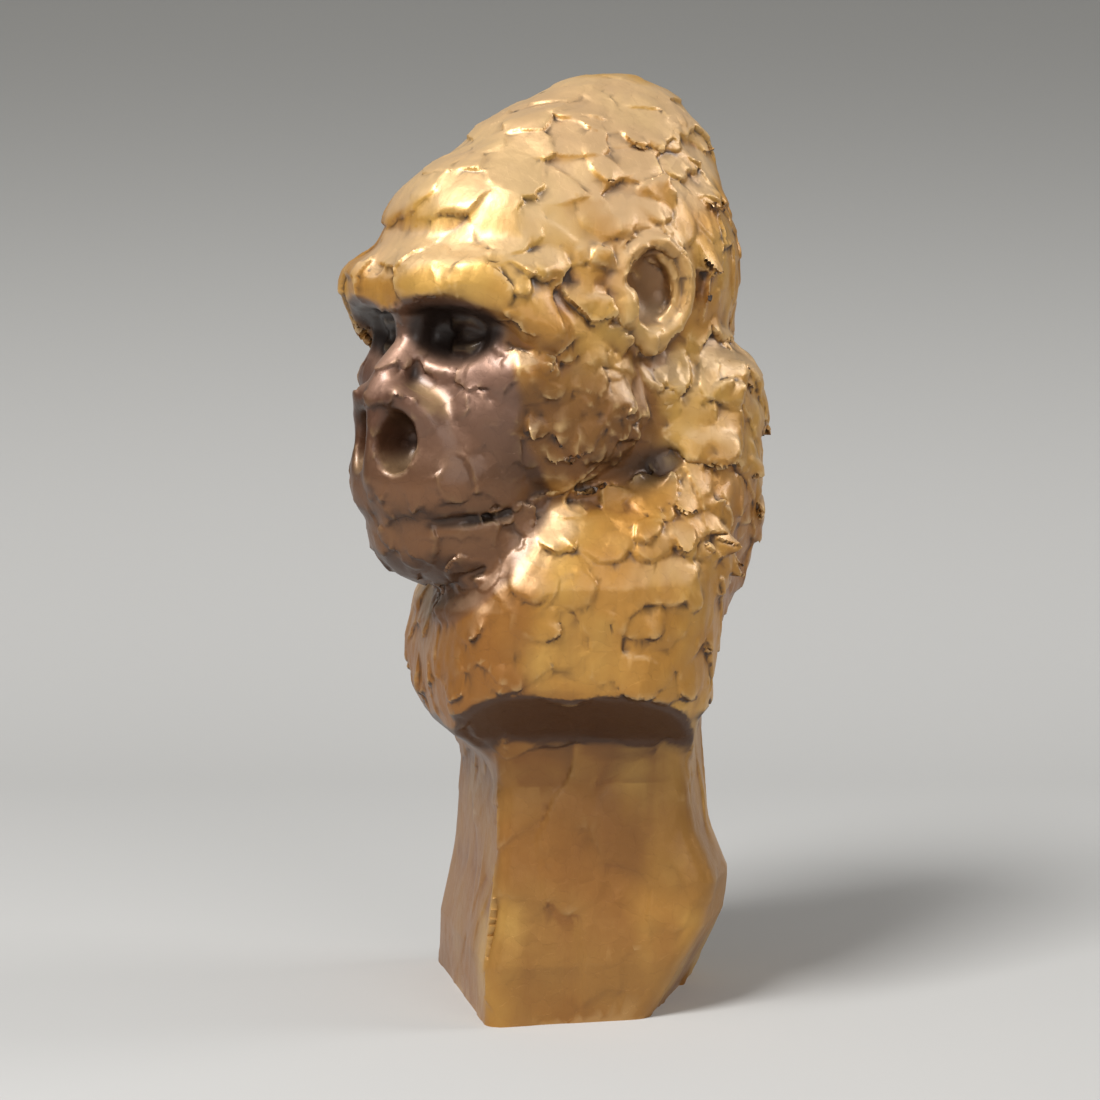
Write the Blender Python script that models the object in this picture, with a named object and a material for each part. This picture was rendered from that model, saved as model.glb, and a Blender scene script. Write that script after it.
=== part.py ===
"""Gorilla bust, cast in one piece from a hand-modelled clay original.

The head looks to its own right of the chest. The chest ends in cut-off shoulders, and stands on a
faceted column that flares into a foot. Lengths are metres, +Z is up, the face looks along -Y, and
the origin is the middle of the foot where it meets the ground.

The form is built up as clay is: rounded masses are put together, melted into each other, hollowed
where the eyes, nostrils, mouth and ears are, and covered with dabs and slabs of clay.
"""

import math

import bmesh
import bpy
import numpy as np
from mathutils import Euler, Matrix, Vector
from mathutils.bvhtree import BVHTree

MM = 0.001

# Head, measured from the point between the ears at the height of the eyes
HEAD_HEIGHT = 230 * MM
HEAD_FORWARD = 9.5 * MM
HEAD_ASIDE = 2 * MM
SKULL_HALF_WIDTH = 50 * MM
SKULL_BACK = 68 * MM
CREST_TOP = 90.5 * MM
CREST_HALF_WIDTH = 33 * MM
FOREHEAD_REACH = 66 * MM
BROW_REACH = 80 * MM
BROW_HALF_WIDTH = 48 * MM
BROW_THICKNESS = 15 * MM
EYE_HALF_SPACING = 17.7 * MM
EYE_REACH = 60.5 * MM
EYE_RADIUS = 7.5 * MM
NOSE_REACH = 85 * MM
NOSE_DROP = 34 * MM
NOSE_HALF_WIDTH = 21.5 * MM
NOSTRIL_HALF_SPACING = 9.2 * MM
NOSTRIL_WIDTH = 13.6 * MM
NOSTRIL_HEIGHT = 19.6 * MM
MUZZLE_REACH = 85 * MM
MUZZLE_HALF_WIDTH = 33 * MM
MOUTH_DROP = 62 * MM
MOUTH_OPENING = 5 * MM
CHIN_DROP = 84 * MM
JAW_HALF_WIDTH = 47 * MM
CHEEK_HALF_WIDTH = 43 * MM
EAR_FORWARD = 4 * MM
EAR_LEVEL = 15 * MM
EAR_HEIGHT = 36 * MM
EAR_LENGTH = 32 * MM
EAR_STANDS_OUT = 7 * MM
EAR_BOWL_DEPTH = 8 * MM

# Neck, chest and shoulders, in the torso's own directions
TORSO_TURN = math.radians(-31)
NECK_HALF_WIDTH = 42 * MM
NAPE_BACK = 64 * MM
BACK_HALF_WIDTH = 48 * MM
SHOULDER_TOP = 190 * MM
CHEST_FRONT = 59 * MM
CHEST_BACK = 44 * MM
CHEST_CORNERS_BACK = 67 * MM
CHEST_CORNER_FRONT_LEFT = 82 * MM
CHEST_CORNER_FRONT_RIGHT = 61 * MM
LEFT_SHOULDER_REACH = 69 * MM
RIGHT_SHOULDER_REACH = 61 * MM
CHEST_WIDEST_HEIGHT = 124 * MM
CHEST_BOTTOM = 88 * MM
UNDERSIDE_EDGE_HEIGHT = 112 * MM

# Column and foot, in the torso's own directions
COLUMN_HALF_WIDTH = 43 * MM
COLUMN_FRONT = 37 * MM
COLUMN_BACK = 41.5 * MM
FOOT_HALF_WIDTH = 51 * MM
FOOT_FRONT = 42 * MM
FOOT_BACK = 51 * MM
FOOT_HEIGHT = 45 * MM
FOOT_CUT_BACK = 17 * MM
SEAT_TRIM = 6 * MM

# Dabs of clay that a thumb pressed on: each is thick at its front and fades out at its back
DAB_LENGTH = 25 * MM
DAB_WIDTH = 19 * MM
DAB_RISE = 1.9 * MM
DAB_ROOT = 1.6 * MM

# How finely the clay is meshed, and the most triangles the finished piece may have
COARSE_VOXEL = 2.2 * MM
FINE_VOXEL = 1.5 * MM
MOST_TRIANGLES = 11600

BRONZE_COLOUR = (0.46, 0.27, 0.08, 1.0)
BRONZE_ROUGHNESS = 0.42
BRONZE_METALLIC = 0.8


def turn_matrix(degrees):
    """Rotation matrix for turns in degrees about X, Y and then Z."""
    return np.array(Euler([math.radians(d) for d in degrees]).to_matrix())


def round_lump(subdivisions):
    """A ball of radius one, as a mesh to stamp copies from."""
    work = bmesh.new()
    bmesh.ops.create_icosphere(work, subdivisions=subdivisions, radius=1.0)
    lump = bpy.data.meshes.new("lump")
    work.to_mesh(lump)
    work.free()
    return lump


def stamp(clay, lump, place):
    """Put a copy of a mesh into the clay. A mirroring place keeps its faces pointing out."""
    copy = lump.copy()
    copy.transform(place)
    if place.determinant() < 0:
        copy.flip_normals()
    clay.from_mesh(copy)
    bpy.data.meshes.remove(copy)


class Ball:
    """An egg of clay with its own half sizes and turn."""

    def __init__(self, at, radii, turn=(0, 0, 0)):
        self.at = np.array(at, float)
        self.radii = np.array(radii, float)
        self.turn = turn_matrix(turn)
        self.reach = self.radii.max()

    def distance(self, points):
        local = (points - self.at) @ self.turn
        near = np.linalg.norm(local / self.radii, axis=1)
        slope = np.linalg.norm(local / self.radii ** 2, axis=1)
        return near * (near - 1) / np.maximum(slope, 1e-6)

    def put_into(self, clay, place):
        turned = place @ Matrix.Translation(self.at) @ Matrix(self.turn).to_4x4()
        stamp(clay, round_lump(subdivisions=5), turned @ Matrix.Diagonal((*self.radii, 1)))


class Roll:
    """A roll of clay that runs through points and may taper."""

    def __init__(self, points, radii):
        self.points = np.array(points, float)
        self.radii = np.array(radii, float)
        self.at = (self.points.min(0) + self.points.max(0)) / 2
        self.reach = np.linalg.norm(np.ptp(self.points, axis=0)) / 2 + self.radii.max()

    def stretches(self):
        return zip(self.points[:-1], self.points[1:], self.radii[:-1], self.radii[1:])

    def distance(self, points):
        nearest = np.full(len(points), np.inf)
        for start, end, thick, thin in self.stretches():
            run = end - start
            along = np.clip((points - start) @ run / max(run @ run, 1e-12), 0, 1)
            gap = np.linalg.norm(points - start - along[:, None] * run, axis=1)
            nearest = np.minimum(nearest, gap - thick - (thin - thick) * along)
        return nearest

    def put_into(self, clay, place):
        bead = round_lump(subdivisions=3)
        for start, end, thick, thin in self.stretches():
            beads = 2 + int(np.linalg.norm(end - start) / min(thick, thin) * 2)
            for share in np.linspace(0, 1, beads):
                radius = thick + (thin - thick) * share
                at = place @ Matrix.Translation(start + (end - start) * share)
                stamp(clay, bead, at @ Matrix.Scale(radius, 4))


class Block:
    """An upright block with flat sides. Each side has a compass angle and its reach at some heights."""

    def __init__(self, sides, bottom, top, rounding):
        self.sides = sides
        self.bottom = bottom
        self.top = top
        self.rounding = rounding
        self.at = np.array((0, 0, (bottom + top) / 2))
        self.reach = (top - bottom) / 2 + max(reach for _, rows in sides for _, reach in rows)

    def distance(self, points):
        outside = None
        for angle, rows in self.sides:
            heights, reaches = zip(*rows)
            way = math.radians(angle)
            across = points[:, 0] * math.cos(way) + points[:, 1] * math.sin(way)
            side = across - np.interp(points[:, 2], heights, reaches)
            outside = side if outside is None else soft_max(outside, side, self.rounding)
        ends = np.maximum(points[:, 2] - self.top, self.bottom - points[:, 2])
        return np.maximum(outside, ends)

    def corner_reach(self, angle, height):
        """How far out the surface lies in one compass direction at one height."""
        reaches = []
        for side_angle, rows in self.sides:
            lean = math.cos(math.radians(angle - side_angle))
            if lean > 0.05:
                heights, sizes = zip(*rows)
                reaches.append(np.interp(height, heights, sizes) / lean)
        return min(reaches)

    def put_into(self, clay, place, ring_points=48, ring_step=5 * MM):
        levels = np.linspace(self.bottom, self.top, 2 + int((self.top - self.bottom) / ring_step))
        angles = [360 / ring_points * i for i in range(ring_points)]
        rings = []
        for level in levels:
            ring = []
            for angle in angles:
                out = self.corner_reach(angle, level)
                way = math.radians(angle)
                ring.append(clay.verts.new(place @ Vector((out * math.cos(way), out * math.sin(way), level))))
            rings.append(ring)
        edges = [[clay.edges.new((a, b)) for a, b in zip(ring, ring[1:] + ring[:1])] for ring in rings]
        for lower, upper in zip(edges, edges[1:]):
            bmesh.ops.bridge_loops(clay, edges=lower + upper)
        clay.faces.new(rings[0][::-1])
        clay.faces.new(rings[-1])


class Slice:
    """A flat knife cut. What lies on the side its normal points to is taken off."""

    def __init__(self, at, normal):
        self.at = np.array(at, float)
        self.normal = np.array(normal, float) / np.linalg.norm(normal)
        self.reach = None

    def distance(self, points):
        return (points - self.at) @ self.normal


def soft_min(a, b, blend):
    """The smaller of two distances, melted together over the blend width."""
    if blend <= 0:
        return np.minimum(a, b)
    overlap = np.maximum(blend - np.abs(a - b), 0) / blend
    return np.minimum(a, b) - overlap ** 2 * blend / 4


def soft_max(a, b, blend):
    """The larger of two distances, melted together over the blend width."""
    return -soft_min(-a, -b, blend)


class Clay:
    """The steps of the modelling, in order, and the distance to the surface that they leave."""

    FAR = 60 * MM
    MARGIN = 9 * MM

    def __init__(self):
        self.steps = []
        torso = Matrix.Rotation(TORSO_TURN, 4, "Z")
        head = Matrix.Translation((HEAD_ASIDE, -HEAD_FORWARD, HEAD_HEIGHT))
        self.frames = {"torso": torso, "head": head}

    def add(self, frame, shape, blend, both_sides=False):
        self.steps.append(("add", frame, shape, blend, both_sides))

    def hollow(self, frame, shape, blend, both_sides=False):
        self.steps.append(("hollow", frame, shape, blend, both_sides))

    def slice(self, frame, shape, blend):
        self.steps.append(("slice", frame, shape, blend, False))

    def local(self, points, frame, both_sides):
        """Points as a frame sees them, folded to its +X side where a step is made on both sides."""
        inverse = np.array(self.frames[frame].inverted())
        seen = points @ inverse[:3, :3].T + inverse[:3, 3]
        if both_sides:
            seen[:, 0] = np.abs(seen[:, 0])
        return seen

    def distance(self, points, with_hollows=True):
        """Signed distance from points to the clay, negative inside it."""
        gap = np.full(len(points), self.FAR)
        seen = {}
        for kind, frame, shape, blend, both_sides in self.steps:
            if (frame, both_sides) not in seen:
                seen[frame, both_sides] = self.local(points, frame, both_sides)
            here = seen[frame, both_sides]
            near = np.ones(len(points), bool)
            if shape.reach is not None:
                near = np.linalg.norm(here - shape.at, axis=1) < shape.reach + blend + self.MARGIN
            if kind != "add" and not with_hollows:
                continue
            if kind == "add":
                gap[near] = soft_min(gap[near], shape.distance(here[near]), blend)
            elif kind == "hollow":
                gap[near] = soft_max(gap[near], -shape.distance(here[near]), blend)
            else:
                gap[near] = soft_max(gap[near], shape.distance(here[near]), blend)
        return gap

    def put_together(self):
        """One mesh of every added mass, still as separate overlapping solids."""
        clay = bmesh.new()
        for kind, frame, shape, _, both_sides in self.steps:
            if kind == "add":
                shape.put_into(clay, self.frames[frame])
                if both_sides:
                    shape.put_into(clay, self.frames[frame] @ Matrix.Diagonal((-1, 1, 1, 1)))
        return clay


def chest_sides():
    """The sides of the chest block, narrowing from its widest height to its top and its bottom."""
    widest = CHEST_WIDEST_HEIGHT
    front = [(CHEST_BOTTOM, CHEST_FRONT - 9 * MM), (widest - 16 * MM, CHEST_FRONT - 2 * MM),
             (widest, CHEST_FRONT), (widest + 16 * MM, CHEST_FRONT - 3 * MM),
             (widest + 32 * MM, CHEST_FRONT - 11 * MM), (widest + 48 * MM, CHEST_FRONT - 22 * MM),
             (SHOULDER_TOP, CHEST_FRONT - 34 * MM)]
    back = [(CHEST_BOTTOM, CHEST_BACK - 12 * MM), (widest - 14 * MM, CHEST_BACK - 6 * MM),
            (widest + 6 * MM, CHEST_BACK - 2 * MM), (widest + 26 * MM, CHEST_BACK)]
    sides = [(-90, front), (90, back)]
    for angle, reach in ((0, LEFT_SHOULDER_REACH), (180, RIGHT_SHOULDER_REACH)):
        sides.append((angle, [(CHEST_BOTTOM, reach - 9 * MM), (widest - 12 * MM, reach - 1 * MM),
                              (widest + 24 * MM, reach), (widest + 40 * MM, reach - 5 * MM),
                              (widest + 54 * MM, reach - 15 * MM), (SHOULDER_TOP, reach - 27 * MM)]))
    for angle, reach in ((45, CHEST_CORNERS_BACK), (135, CHEST_CORNERS_BACK)):
        sides.append((angle, [(CHEST_BOTTOM, reach - 9 * MM), (widest - 9 * MM, reach - 4 * MM),
                              (widest + 26 * MM, reach), (SHOULDER_TOP - 10 * MM, reach - 6 * MM)]))
    corners = ((-45, CHEST_CORNER_FRONT_LEFT, 8 * MM), (-135, CHEST_CORNER_FRONT_RIGHT, 13 * MM))
    for angle, reach, slope in corners:
        sides.append((angle, [(CHEST_BOTTOM, reach - 7 * MM), (widest - 12 * MM, reach + 1 * MM),
                              (widest + 16 * MM, reach), (widest + 36 * MM, reach - slope),
                              (SHOULDER_TOP - 10 * MM, reach - 2.7 * slope)]))
    return sides


def model_torso(clay):
    """The chest with its cut-off shoulders, the column and foot below it, and the neck above."""
    clay.add("torso", Block(chest_sides(), CHEST_BOTTOM, SHOULDER_TOP, 18 * MM), 0)
    left_edge = (LEFT_SHOULDER_REACH - 1 * MM, 0, UNDERSIDE_EDGE_HEIGHT)
    right_edge = (-RIGHT_SHOULDER_REACH - 2 * MM, 0, UNDERSIDE_EDGE_HEIGHT - 4 * MM)
    front_edge = (0, -CHEST_FRONT, UNDERSIDE_EDGE_HEIGHT - 9 * MM)
    clay.slice("torso", Slice(left_edge, (0.6, -0.05, -0.8)), 2 * MM)
    clay.slice("torso", Slice(right_edge, (-0.6, -0.05, -0.8)), 2 * MM)
    clay.slice("torso", Slice(front_edge, (0, -0.58, -0.81)), 2 * MM)
    model_column(clay)
    back = Ball((0, NAPE_BACK - 50 * MM, SHOULDER_TOP - 16 * MM), (BACK_HALF_WIDTH, 50 * MM, 54 * MM))
    clay.add("torso", back, 12 * MM)
    neck = Ball((2 * MM, NAPE_BACK - 44 * MM, SHOULDER_TOP + 14 * MM), (NECK_HALF_WIDTH, 44 * MM, 38 * MM))
    clay.add("torso", neck, 8 * MM)


def model_column(clay):
    """The faceted column and its foot, whose near back corner is cut under where the clay tore."""
    waist = 80 * MM
    joins = SHOULDER_TOP - 50 * MM
    front = [(0, FOOT_FRONT), (20 * MM, FOOT_FRONT), (FOOT_HEIGHT, FOOT_FRONT - 4 * MM),
             (waist, COLUMN_FRONT - 1 * MM), (joins, COLUMN_FRONT + 7 * MM)]
    left = [(0, FOOT_HALF_WIDTH - 2 * MM), (20 * MM, FOOT_HALF_WIDTH - 1 * MM),
            (FOOT_HEIGHT, FOOT_HALF_WIDTH - 4 * MM), (waist, COLUMN_HALF_WIDTH),
            (joins, COLUMN_HALF_WIDTH + 3 * MM)]
    torn_corner = [(0, FOOT_BACK - FOOT_CUT_BACK), (30 * MM, FOOT_BACK), (FOOT_HEIGHT, FOOT_BACK + 3 * MM),
                   (62 * MM, COLUMN_BACK + 6 * MM), (waist + 15 * MM, COLUMN_BACK + 1 * MM),
                   (joins, COLUMN_BACK + 8 * MM)]
    back = [(0, FOOT_BACK - 4 * MM), (20 * MM, FOOT_BACK), (FOOT_HEIGHT, FOOT_BACK - 1 * MM),
            (62 * MM, COLUMN_BACK + 2 * MM), (waist, COLUMN_BACK), (joins, COLUMN_BACK + 6 * MM)]
    far_back = [(0, FOOT_BACK - 3 * MM), (30 * MM, FOOT_BACK + 2 * MM), (60 * MM, COLUMN_BACK + 5 * MM),
                (waist + 15 * MM, COLUMN_BACK + 5 * MM), (joins, COLUMN_BACK + 12 * MM)]
    right = [(0, FOOT_HALF_WIDTH), (20 * MM, FOOT_HALF_WIDTH), (FOOT_HEIGHT, FOOT_HALF_WIDTH - 4 * MM),
             (waist, COLUMN_HALF_WIDTH - 1 * MM), (joins, COLUMN_HALF_WIDTH + 7 * MM)]
    far_front = [(0, FOOT_FRONT + 24 * MM), (20 * MM, FOOT_FRONT + 22 * MM),
                 (50 * MM, COLUMN_FRONT + 18 * MM), (waist + 10 * MM, COLUMN_FRONT + 15 * MM),
                 (joins, COLUMN_FRONT + 23 * MM)]
    sides = [(-90, front), (0, left), (62, torn_corner), (90, back), (128, far_back), (180, right),
             (-136, far_front)]
    clay.add("torso", Block(sides, -SEAT_TRIM, joins + 10 * MM, 5 * MM), 5 * MM)


def model_skull(clay):
    """The cranium with its high crest, the forehead, the temples and the jaws."""
    cranium = Ball((0, SKULL_BACK - 62 * MM, 22 * MM), (SKULL_HALF_WIDTH, 62 * MM, 50 * MM))
    clay.add("head", cranium, 8 * MM)
    crest_at = (0, SKULL_BACK - 46 * MM, CREST_TOP - 37.5 * MM)
    clay.add("head", Ball(crest_at, (CREST_HALF_WIDTH, 42 * MM, 37.5 * MM)), 10 * MM)
    crest_front_at = (0, SKULL_BACK - 74 * MM, CREST_TOP - 46.5 * MM)
    clay.add("head", Ball(crest_front_at, (CREST_HALF_WIDTH + 3 * MM, 40 * MM, 34 * MM)), 8 * MM)
    clay.add("head", Ball((0, 29 * MM - FOREHEAD_REACH, 26 * MM), (37 * MM, 29 * MM, 28 * MM)), 12 * MM)
    clay.add("head", Ball((0, 23 * MM - FOREHEAD_REACH, 33 * MM), (30 * MM, 23 * MM, 24 * MM)), 12 * MM)
    temple = Ball((SKULL_HALF_WIDTH - 23 * MM, 40 * MM - FOREHEAD_REACH, 0), (18 * MM, 32 * MM, 36 * MM))
    clay.add("head", temple, 8 * MM, both_sides=True)
    between_eyes = Ball((0, 22 * MM - FOREHEAD_REACH, 24 * MM - NOSE_DROP), (36 * MM, 26 * MM, 28 * MM))
    clay.add("head", between_eyes, 8 * MM)
    jaw_at = (JAW_HALF_WIDTH - 20 * MM, 73 * MM - MUZZLE_REACH, 56 * MM - CHIN_DROP)
    clay.add("head", Ball(jaw_at, (20 * MM, 34 * MM, 27 * MM)), 8 * MM, both_sides=True)


def model_muzzle(clay):
    """The muzzle, the chin and the cheeks beside them."""
    muzzle = Ball((0, 33 * MM - MUZZLE_REACH, 15 * MM - MOUTH_DROP), (MUZZLE_HALF_WIDTH, 33 * MM, 25 * MM))
    clay.add("head", muzzle, 8 * MM)
    chin_at = (0, 37 * MM - MUZZLE_REACH, 18 * MM - CHIN_DROP)
    clay.add("head", Ball(chin_at, (MUZZLE_HALF_WIDTH - 3 * MM, 30 * MM, 18 * MM)), 5 * MM)
    disc_at = (MUZZLE_HALF_WIDTH - 11 * MM, 33 * MM - MUZZLE_REACH, 6 * MM - NOSE_DROP)
    clay.add("head", Ball(disc_at, (15 * MM, 17 * MM, 22 * MM), (0, 0, -30)), 5 * MM, both_sides=True)
    bone_at = (CHEEK_HALF_WIDTH - 12 * MM, 34 * MM - MUZZLE_REACH, 20 * MM - NOSE_DROP)
    clay.add("head", Ball(bone_at, (12 * MM, 10 * MM, 9 * MM)), 5 * MM, both_sides=True)
    cheek_at = (CHEEK_HALF_WIDTH - 8 * MM, 53 * MM - MUZZLE_REACH, 8 * MM - NOSE_DROP)
    clay.add("head", Ball(cheek_at, (12 * MM, 22 * MM, 24 * MM), (0, 0, -20)), 6 * MM, both_sides=True)


def model_eyes(clay):
    """The sockets under the overhanging brow, and the eyeballs in them."""
    socket_at = (EYE_HALF_SPACING + 2.3 * MM, -EYE_REACH - 10.5 * MM, 1 * MM)
    socket = Ball(socket_at, (17 * MM, 14.5 * MM, 12 * MM), (0, 0, -24))
    clay.hollow("head", socket, 3 * MM, both_sides=True)
    half = BROW_THICKNESS / 2
    brow = [
        (0, half - BROW_REACH, 14 * MM),
        (13 * MM, half - BROW_REACH, 17 * MM),
        (BROW_HALF_WIDTH - 22 * MM, half + 6.5 * MM - BROW_REACH, 16.5 * MM),
        (BROW_HALF_WIDTH - 12 * MM, half + 16.5 * MM - BROW_REACH, 11 * MM),
        (BROW_HALF_WIDTH - 6 * MM, half + 26.5 * MM - BROW_REACH, 1 * MM),
    ]
    thickness = [half - 1 * MM, half, half + 0.5 * MM, half, half - 1.5 * MM]
    clay.add("head", Roll(brow, thickness), 5 * MM, both_sides=True)
    clay.add("head", Ball((0, 24 * MM - BROW_REACH, 20 * MM), (33 * MM, 22 * MM, 13 * MM)), 6 * MM)
    ledge = Ball((24 * MM, 30 * MM - BROW_REACH, 18 * MM), (18 * MM, 18 * MM, 12 * MM), (0, 0, -28))
    clay.add("head", ledge, 6 * MM, both_sides=True)
    eye = Ball((EYE_HALF_SPACING, EYE_RADIUS - EYE_REACH, 0.5 * MM), (EYE_RADIUS, EYE_RADIUS, EYE_RADIUS))
    clay.add("head", eye, 1 * MM, both_sides=True)


def model_nose(clay):
    """The bridge, the raised rims of the nostrils, the nostrils and the line of the mouth."""
    bridge = [(0, 18 * MM - NOSE_REACH, 12 * MM), (0, 16.5 * MM - NOSE_REACH, -2 * MM),
              (0, 8 * MM - NOSE_REACH, 20 * MM - NOSE_DROP)]
    clay.add("head", Roll(bridge, [6 * MM, 4.5 * MM, 6 * MM]), 5 * MM)
    body = Ball((0, 19 * MM - NOSE_REACH, 1 * MM - NOSE_DROP), (NOSE_HALF_WIDTH - 0.5 * MM, 18 * MM, 18 * MM))
    clay.add("head", body, 6 * MM)
    thick = 4.2 * MM
    rim = [
        (0, 4 * MM - NOSE_REACH, 15 * MM - NOSE_DROP),
        (8 * MM, 4.5 * MM - NOSE_REACH, 14 * MM - NOSE_DROP),
        (NOSE_HALF_WIDTH - 6.5 * MM, 10 * MM - NOSE_REACH, 8 * MM - NOSE_DROP),
        (NOSE_HALF_WIDTH - 4 * MM, 16 * MM - NOSE_REACH, -2 * MM - NOSE_DROP),
        (NOSE_HALF_WIDTH - 7.5 * MM, 13 * MM - NOSE_REACH, -12 * MM - NOSE_DROP),
    ]
    clay.add("head", Roll(rim, [thick, thick, thick, thick, 3 * MM]), 4 * MM, both_sides=True)
    septum = [(0, 2 * MM - NOSE_REACH, 12 * MM - NOSE_DROP), (0, 1 * MM - NOSE_REACH, -12 * MM - NOSE_DROP)]
    clay.add("head", Roll(septum, [2.6 * MM, 3 * MM]), 4 * MM)
    nostril = Ball((NOSTRIL_HALF_SPACING, 2 * MM - NOSE_REACH, -0.5 * MM - NOSE_DROP),
                   (NOSTRIL_WIDTH / 2, 13 * MM, NOSTRIL_HEIGHT / 2), (0, 0, 16))
    clay.hollow("head", nostril, 2 * MM, both_sides=True)
    open_half = MOUTH_OPENING / 2
    mouth = [
        (0, -MUZZLE_REACH, -MOUTH_DROP),
        (14 * MM, 4 * MM - MUZZLE_REACH, -MOUTH_DROP),
        (MUZZLE_HALF_WIDTH - 9 * MM, 17 * MM - MUZZLE_REACH, 2 * MM - MOUTH_DROP),
        (MUZZLE_HALF_WIDTH - 4 * MM, 33 * MM - MUZZLE_REACH, 5 * MM - MOUTH_DROP),
    ]
    clay.hollow("head", Roll(mouth, [open_half] * 4), 2 * MM, both_sides=True)


def model_ears(clay):
    """A thick oval rim on each side of the head, with a bowl pressed into it."""
    root = SKULL_HALF_WIDTH - 5 * MM
    ear = Ball((root, -EAR_FORWARD, EAR_LEVEL), (EAR_STANDS_OUT, EAR_LENGTH / 2, EAR_HEIGHT / 2))
    clay.add("head", ear, 4 * MM, both_sides=True)
    bowl_at = (root + 18 * MM - EAR_BOWL_DEPTH, -EAR_FORWARD - 2 * MM, EAR_LEVEL + 1 * MM)
    bowl = Ball(bowl_at, (11 * MM, EAR_LENGTH / 2 - 3.5 * MM, EAR_HEIGHT / 2 - 4 * MM))
    clay.hollow("head", bowl, 2 * MM, both_sides=True)


def evaluated_copy(mesh, set_up):
    """The mesh as it comes out of one modifier, which set_up adds to an object that holds it."""
    holder = bpy.data.objects.new("modelling_stand", mesh)
    bpy.context.scene.collection.objects.link(holder)
    set_up(holder)
    shaped = bpy.data.meshes.new_from_object(holder.evaluated_get(bpy.context.evaluated_depsgraph_get()))
    bpy.data.objects.remove(holder)
    return shaped


def fused(clay, voxel):
    """One closed skin around all the overlapping solids of a bmesh."""
    mesh = bpy.data.meshes.new("clay")
    clay.to_mesh(mesh)
    clay.free()

    def set_up(holder):
        remesh = holder.modifiers.new("one_skin", "REMESH")
        remesh.mode = "VOXEL"
        remesh.voxel_size = voxel

    return evaluated_copy(mesh, set_up)


def corners_of(mesh):
    """The mesh's vertex positions as an array."""
    flat = np.empty(len(mesh.vertices) * 3)
    mesh.vertices.foreach_get("co", flat)
    return flat.reshape(-1, 3)


def move_corners(mesh, corners):
    """Give the mesh new vertex positions."""
    mesh.vertices.foreach_set("co", corners.ravel())
    mesh.update()


def outward(clay, points, gap, with_hollows=True):
    """Direction of the steepest way out of the clay at points whose distance to it is the gap."""
    step = 0.3 * MM
    slope = np.empty_like(points)
    for axis in range(3):
        nudge = np.zeros(3)
        nudge[axis] = step
        slope[:, axis] = clay.distance(points + nudge, with_hollows) - gap
    return slope / np.maximum(np.linalg.norm(slope, axis=1, keepdims=True), 1e-9)


def melt(clay, mesh, passes, with_hollows=True):
    """Draw a rough skin onto the smooth surface where the masses run into each other."""
    corners = corners_of(mesh)
    longest = 2.5 * MM
    for _ in range(passes):
        gap = clay.distance(corners, with_hollows)
        corners -= outward(clay, corners, gap, with_hollows) * np.clip(gap, -longest, longest)[:, None]
    move_corners(mesh, corners)


def press_hollows(clay, mesh):
    """Push the skin straight in, wherever a hollow or a knife cut lies over the clay."""
    corners = corners_of(mesh)
    step = 0.6 * MM
    deepest = 26 * MM
    floating = np.flatnonzero(clay.distance(corners) > step / 2)
    skin = corners[floating]
    inward = -outward(clay, skin, clay.distance(skin, with_hollows=False), with_hollows=False)
    for _ in range(int(deepest / step)):
        corners[floating] += inward * step
        still_out = clay.distance(corners[floating]) > step / 2
        floating = floating[still_out]
        inward = inward[still_out]
    move_corners(mesh, corners)


def modelled_form(clay):
    """The smooth form, before any dab is pressed on."""
    skin = fused(clay.put_together(), COARSE_VOXEL)
    melt(clay, skin, passes=2, with_hollows=False)
    press_hollows(clay, skin)
    rough = bmesh.new()
    rough.from_mesh(skin)
    skin = fused(rough, FINE_VOXEL)
    melt(clay, skin, passes=2)
    return skin


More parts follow.
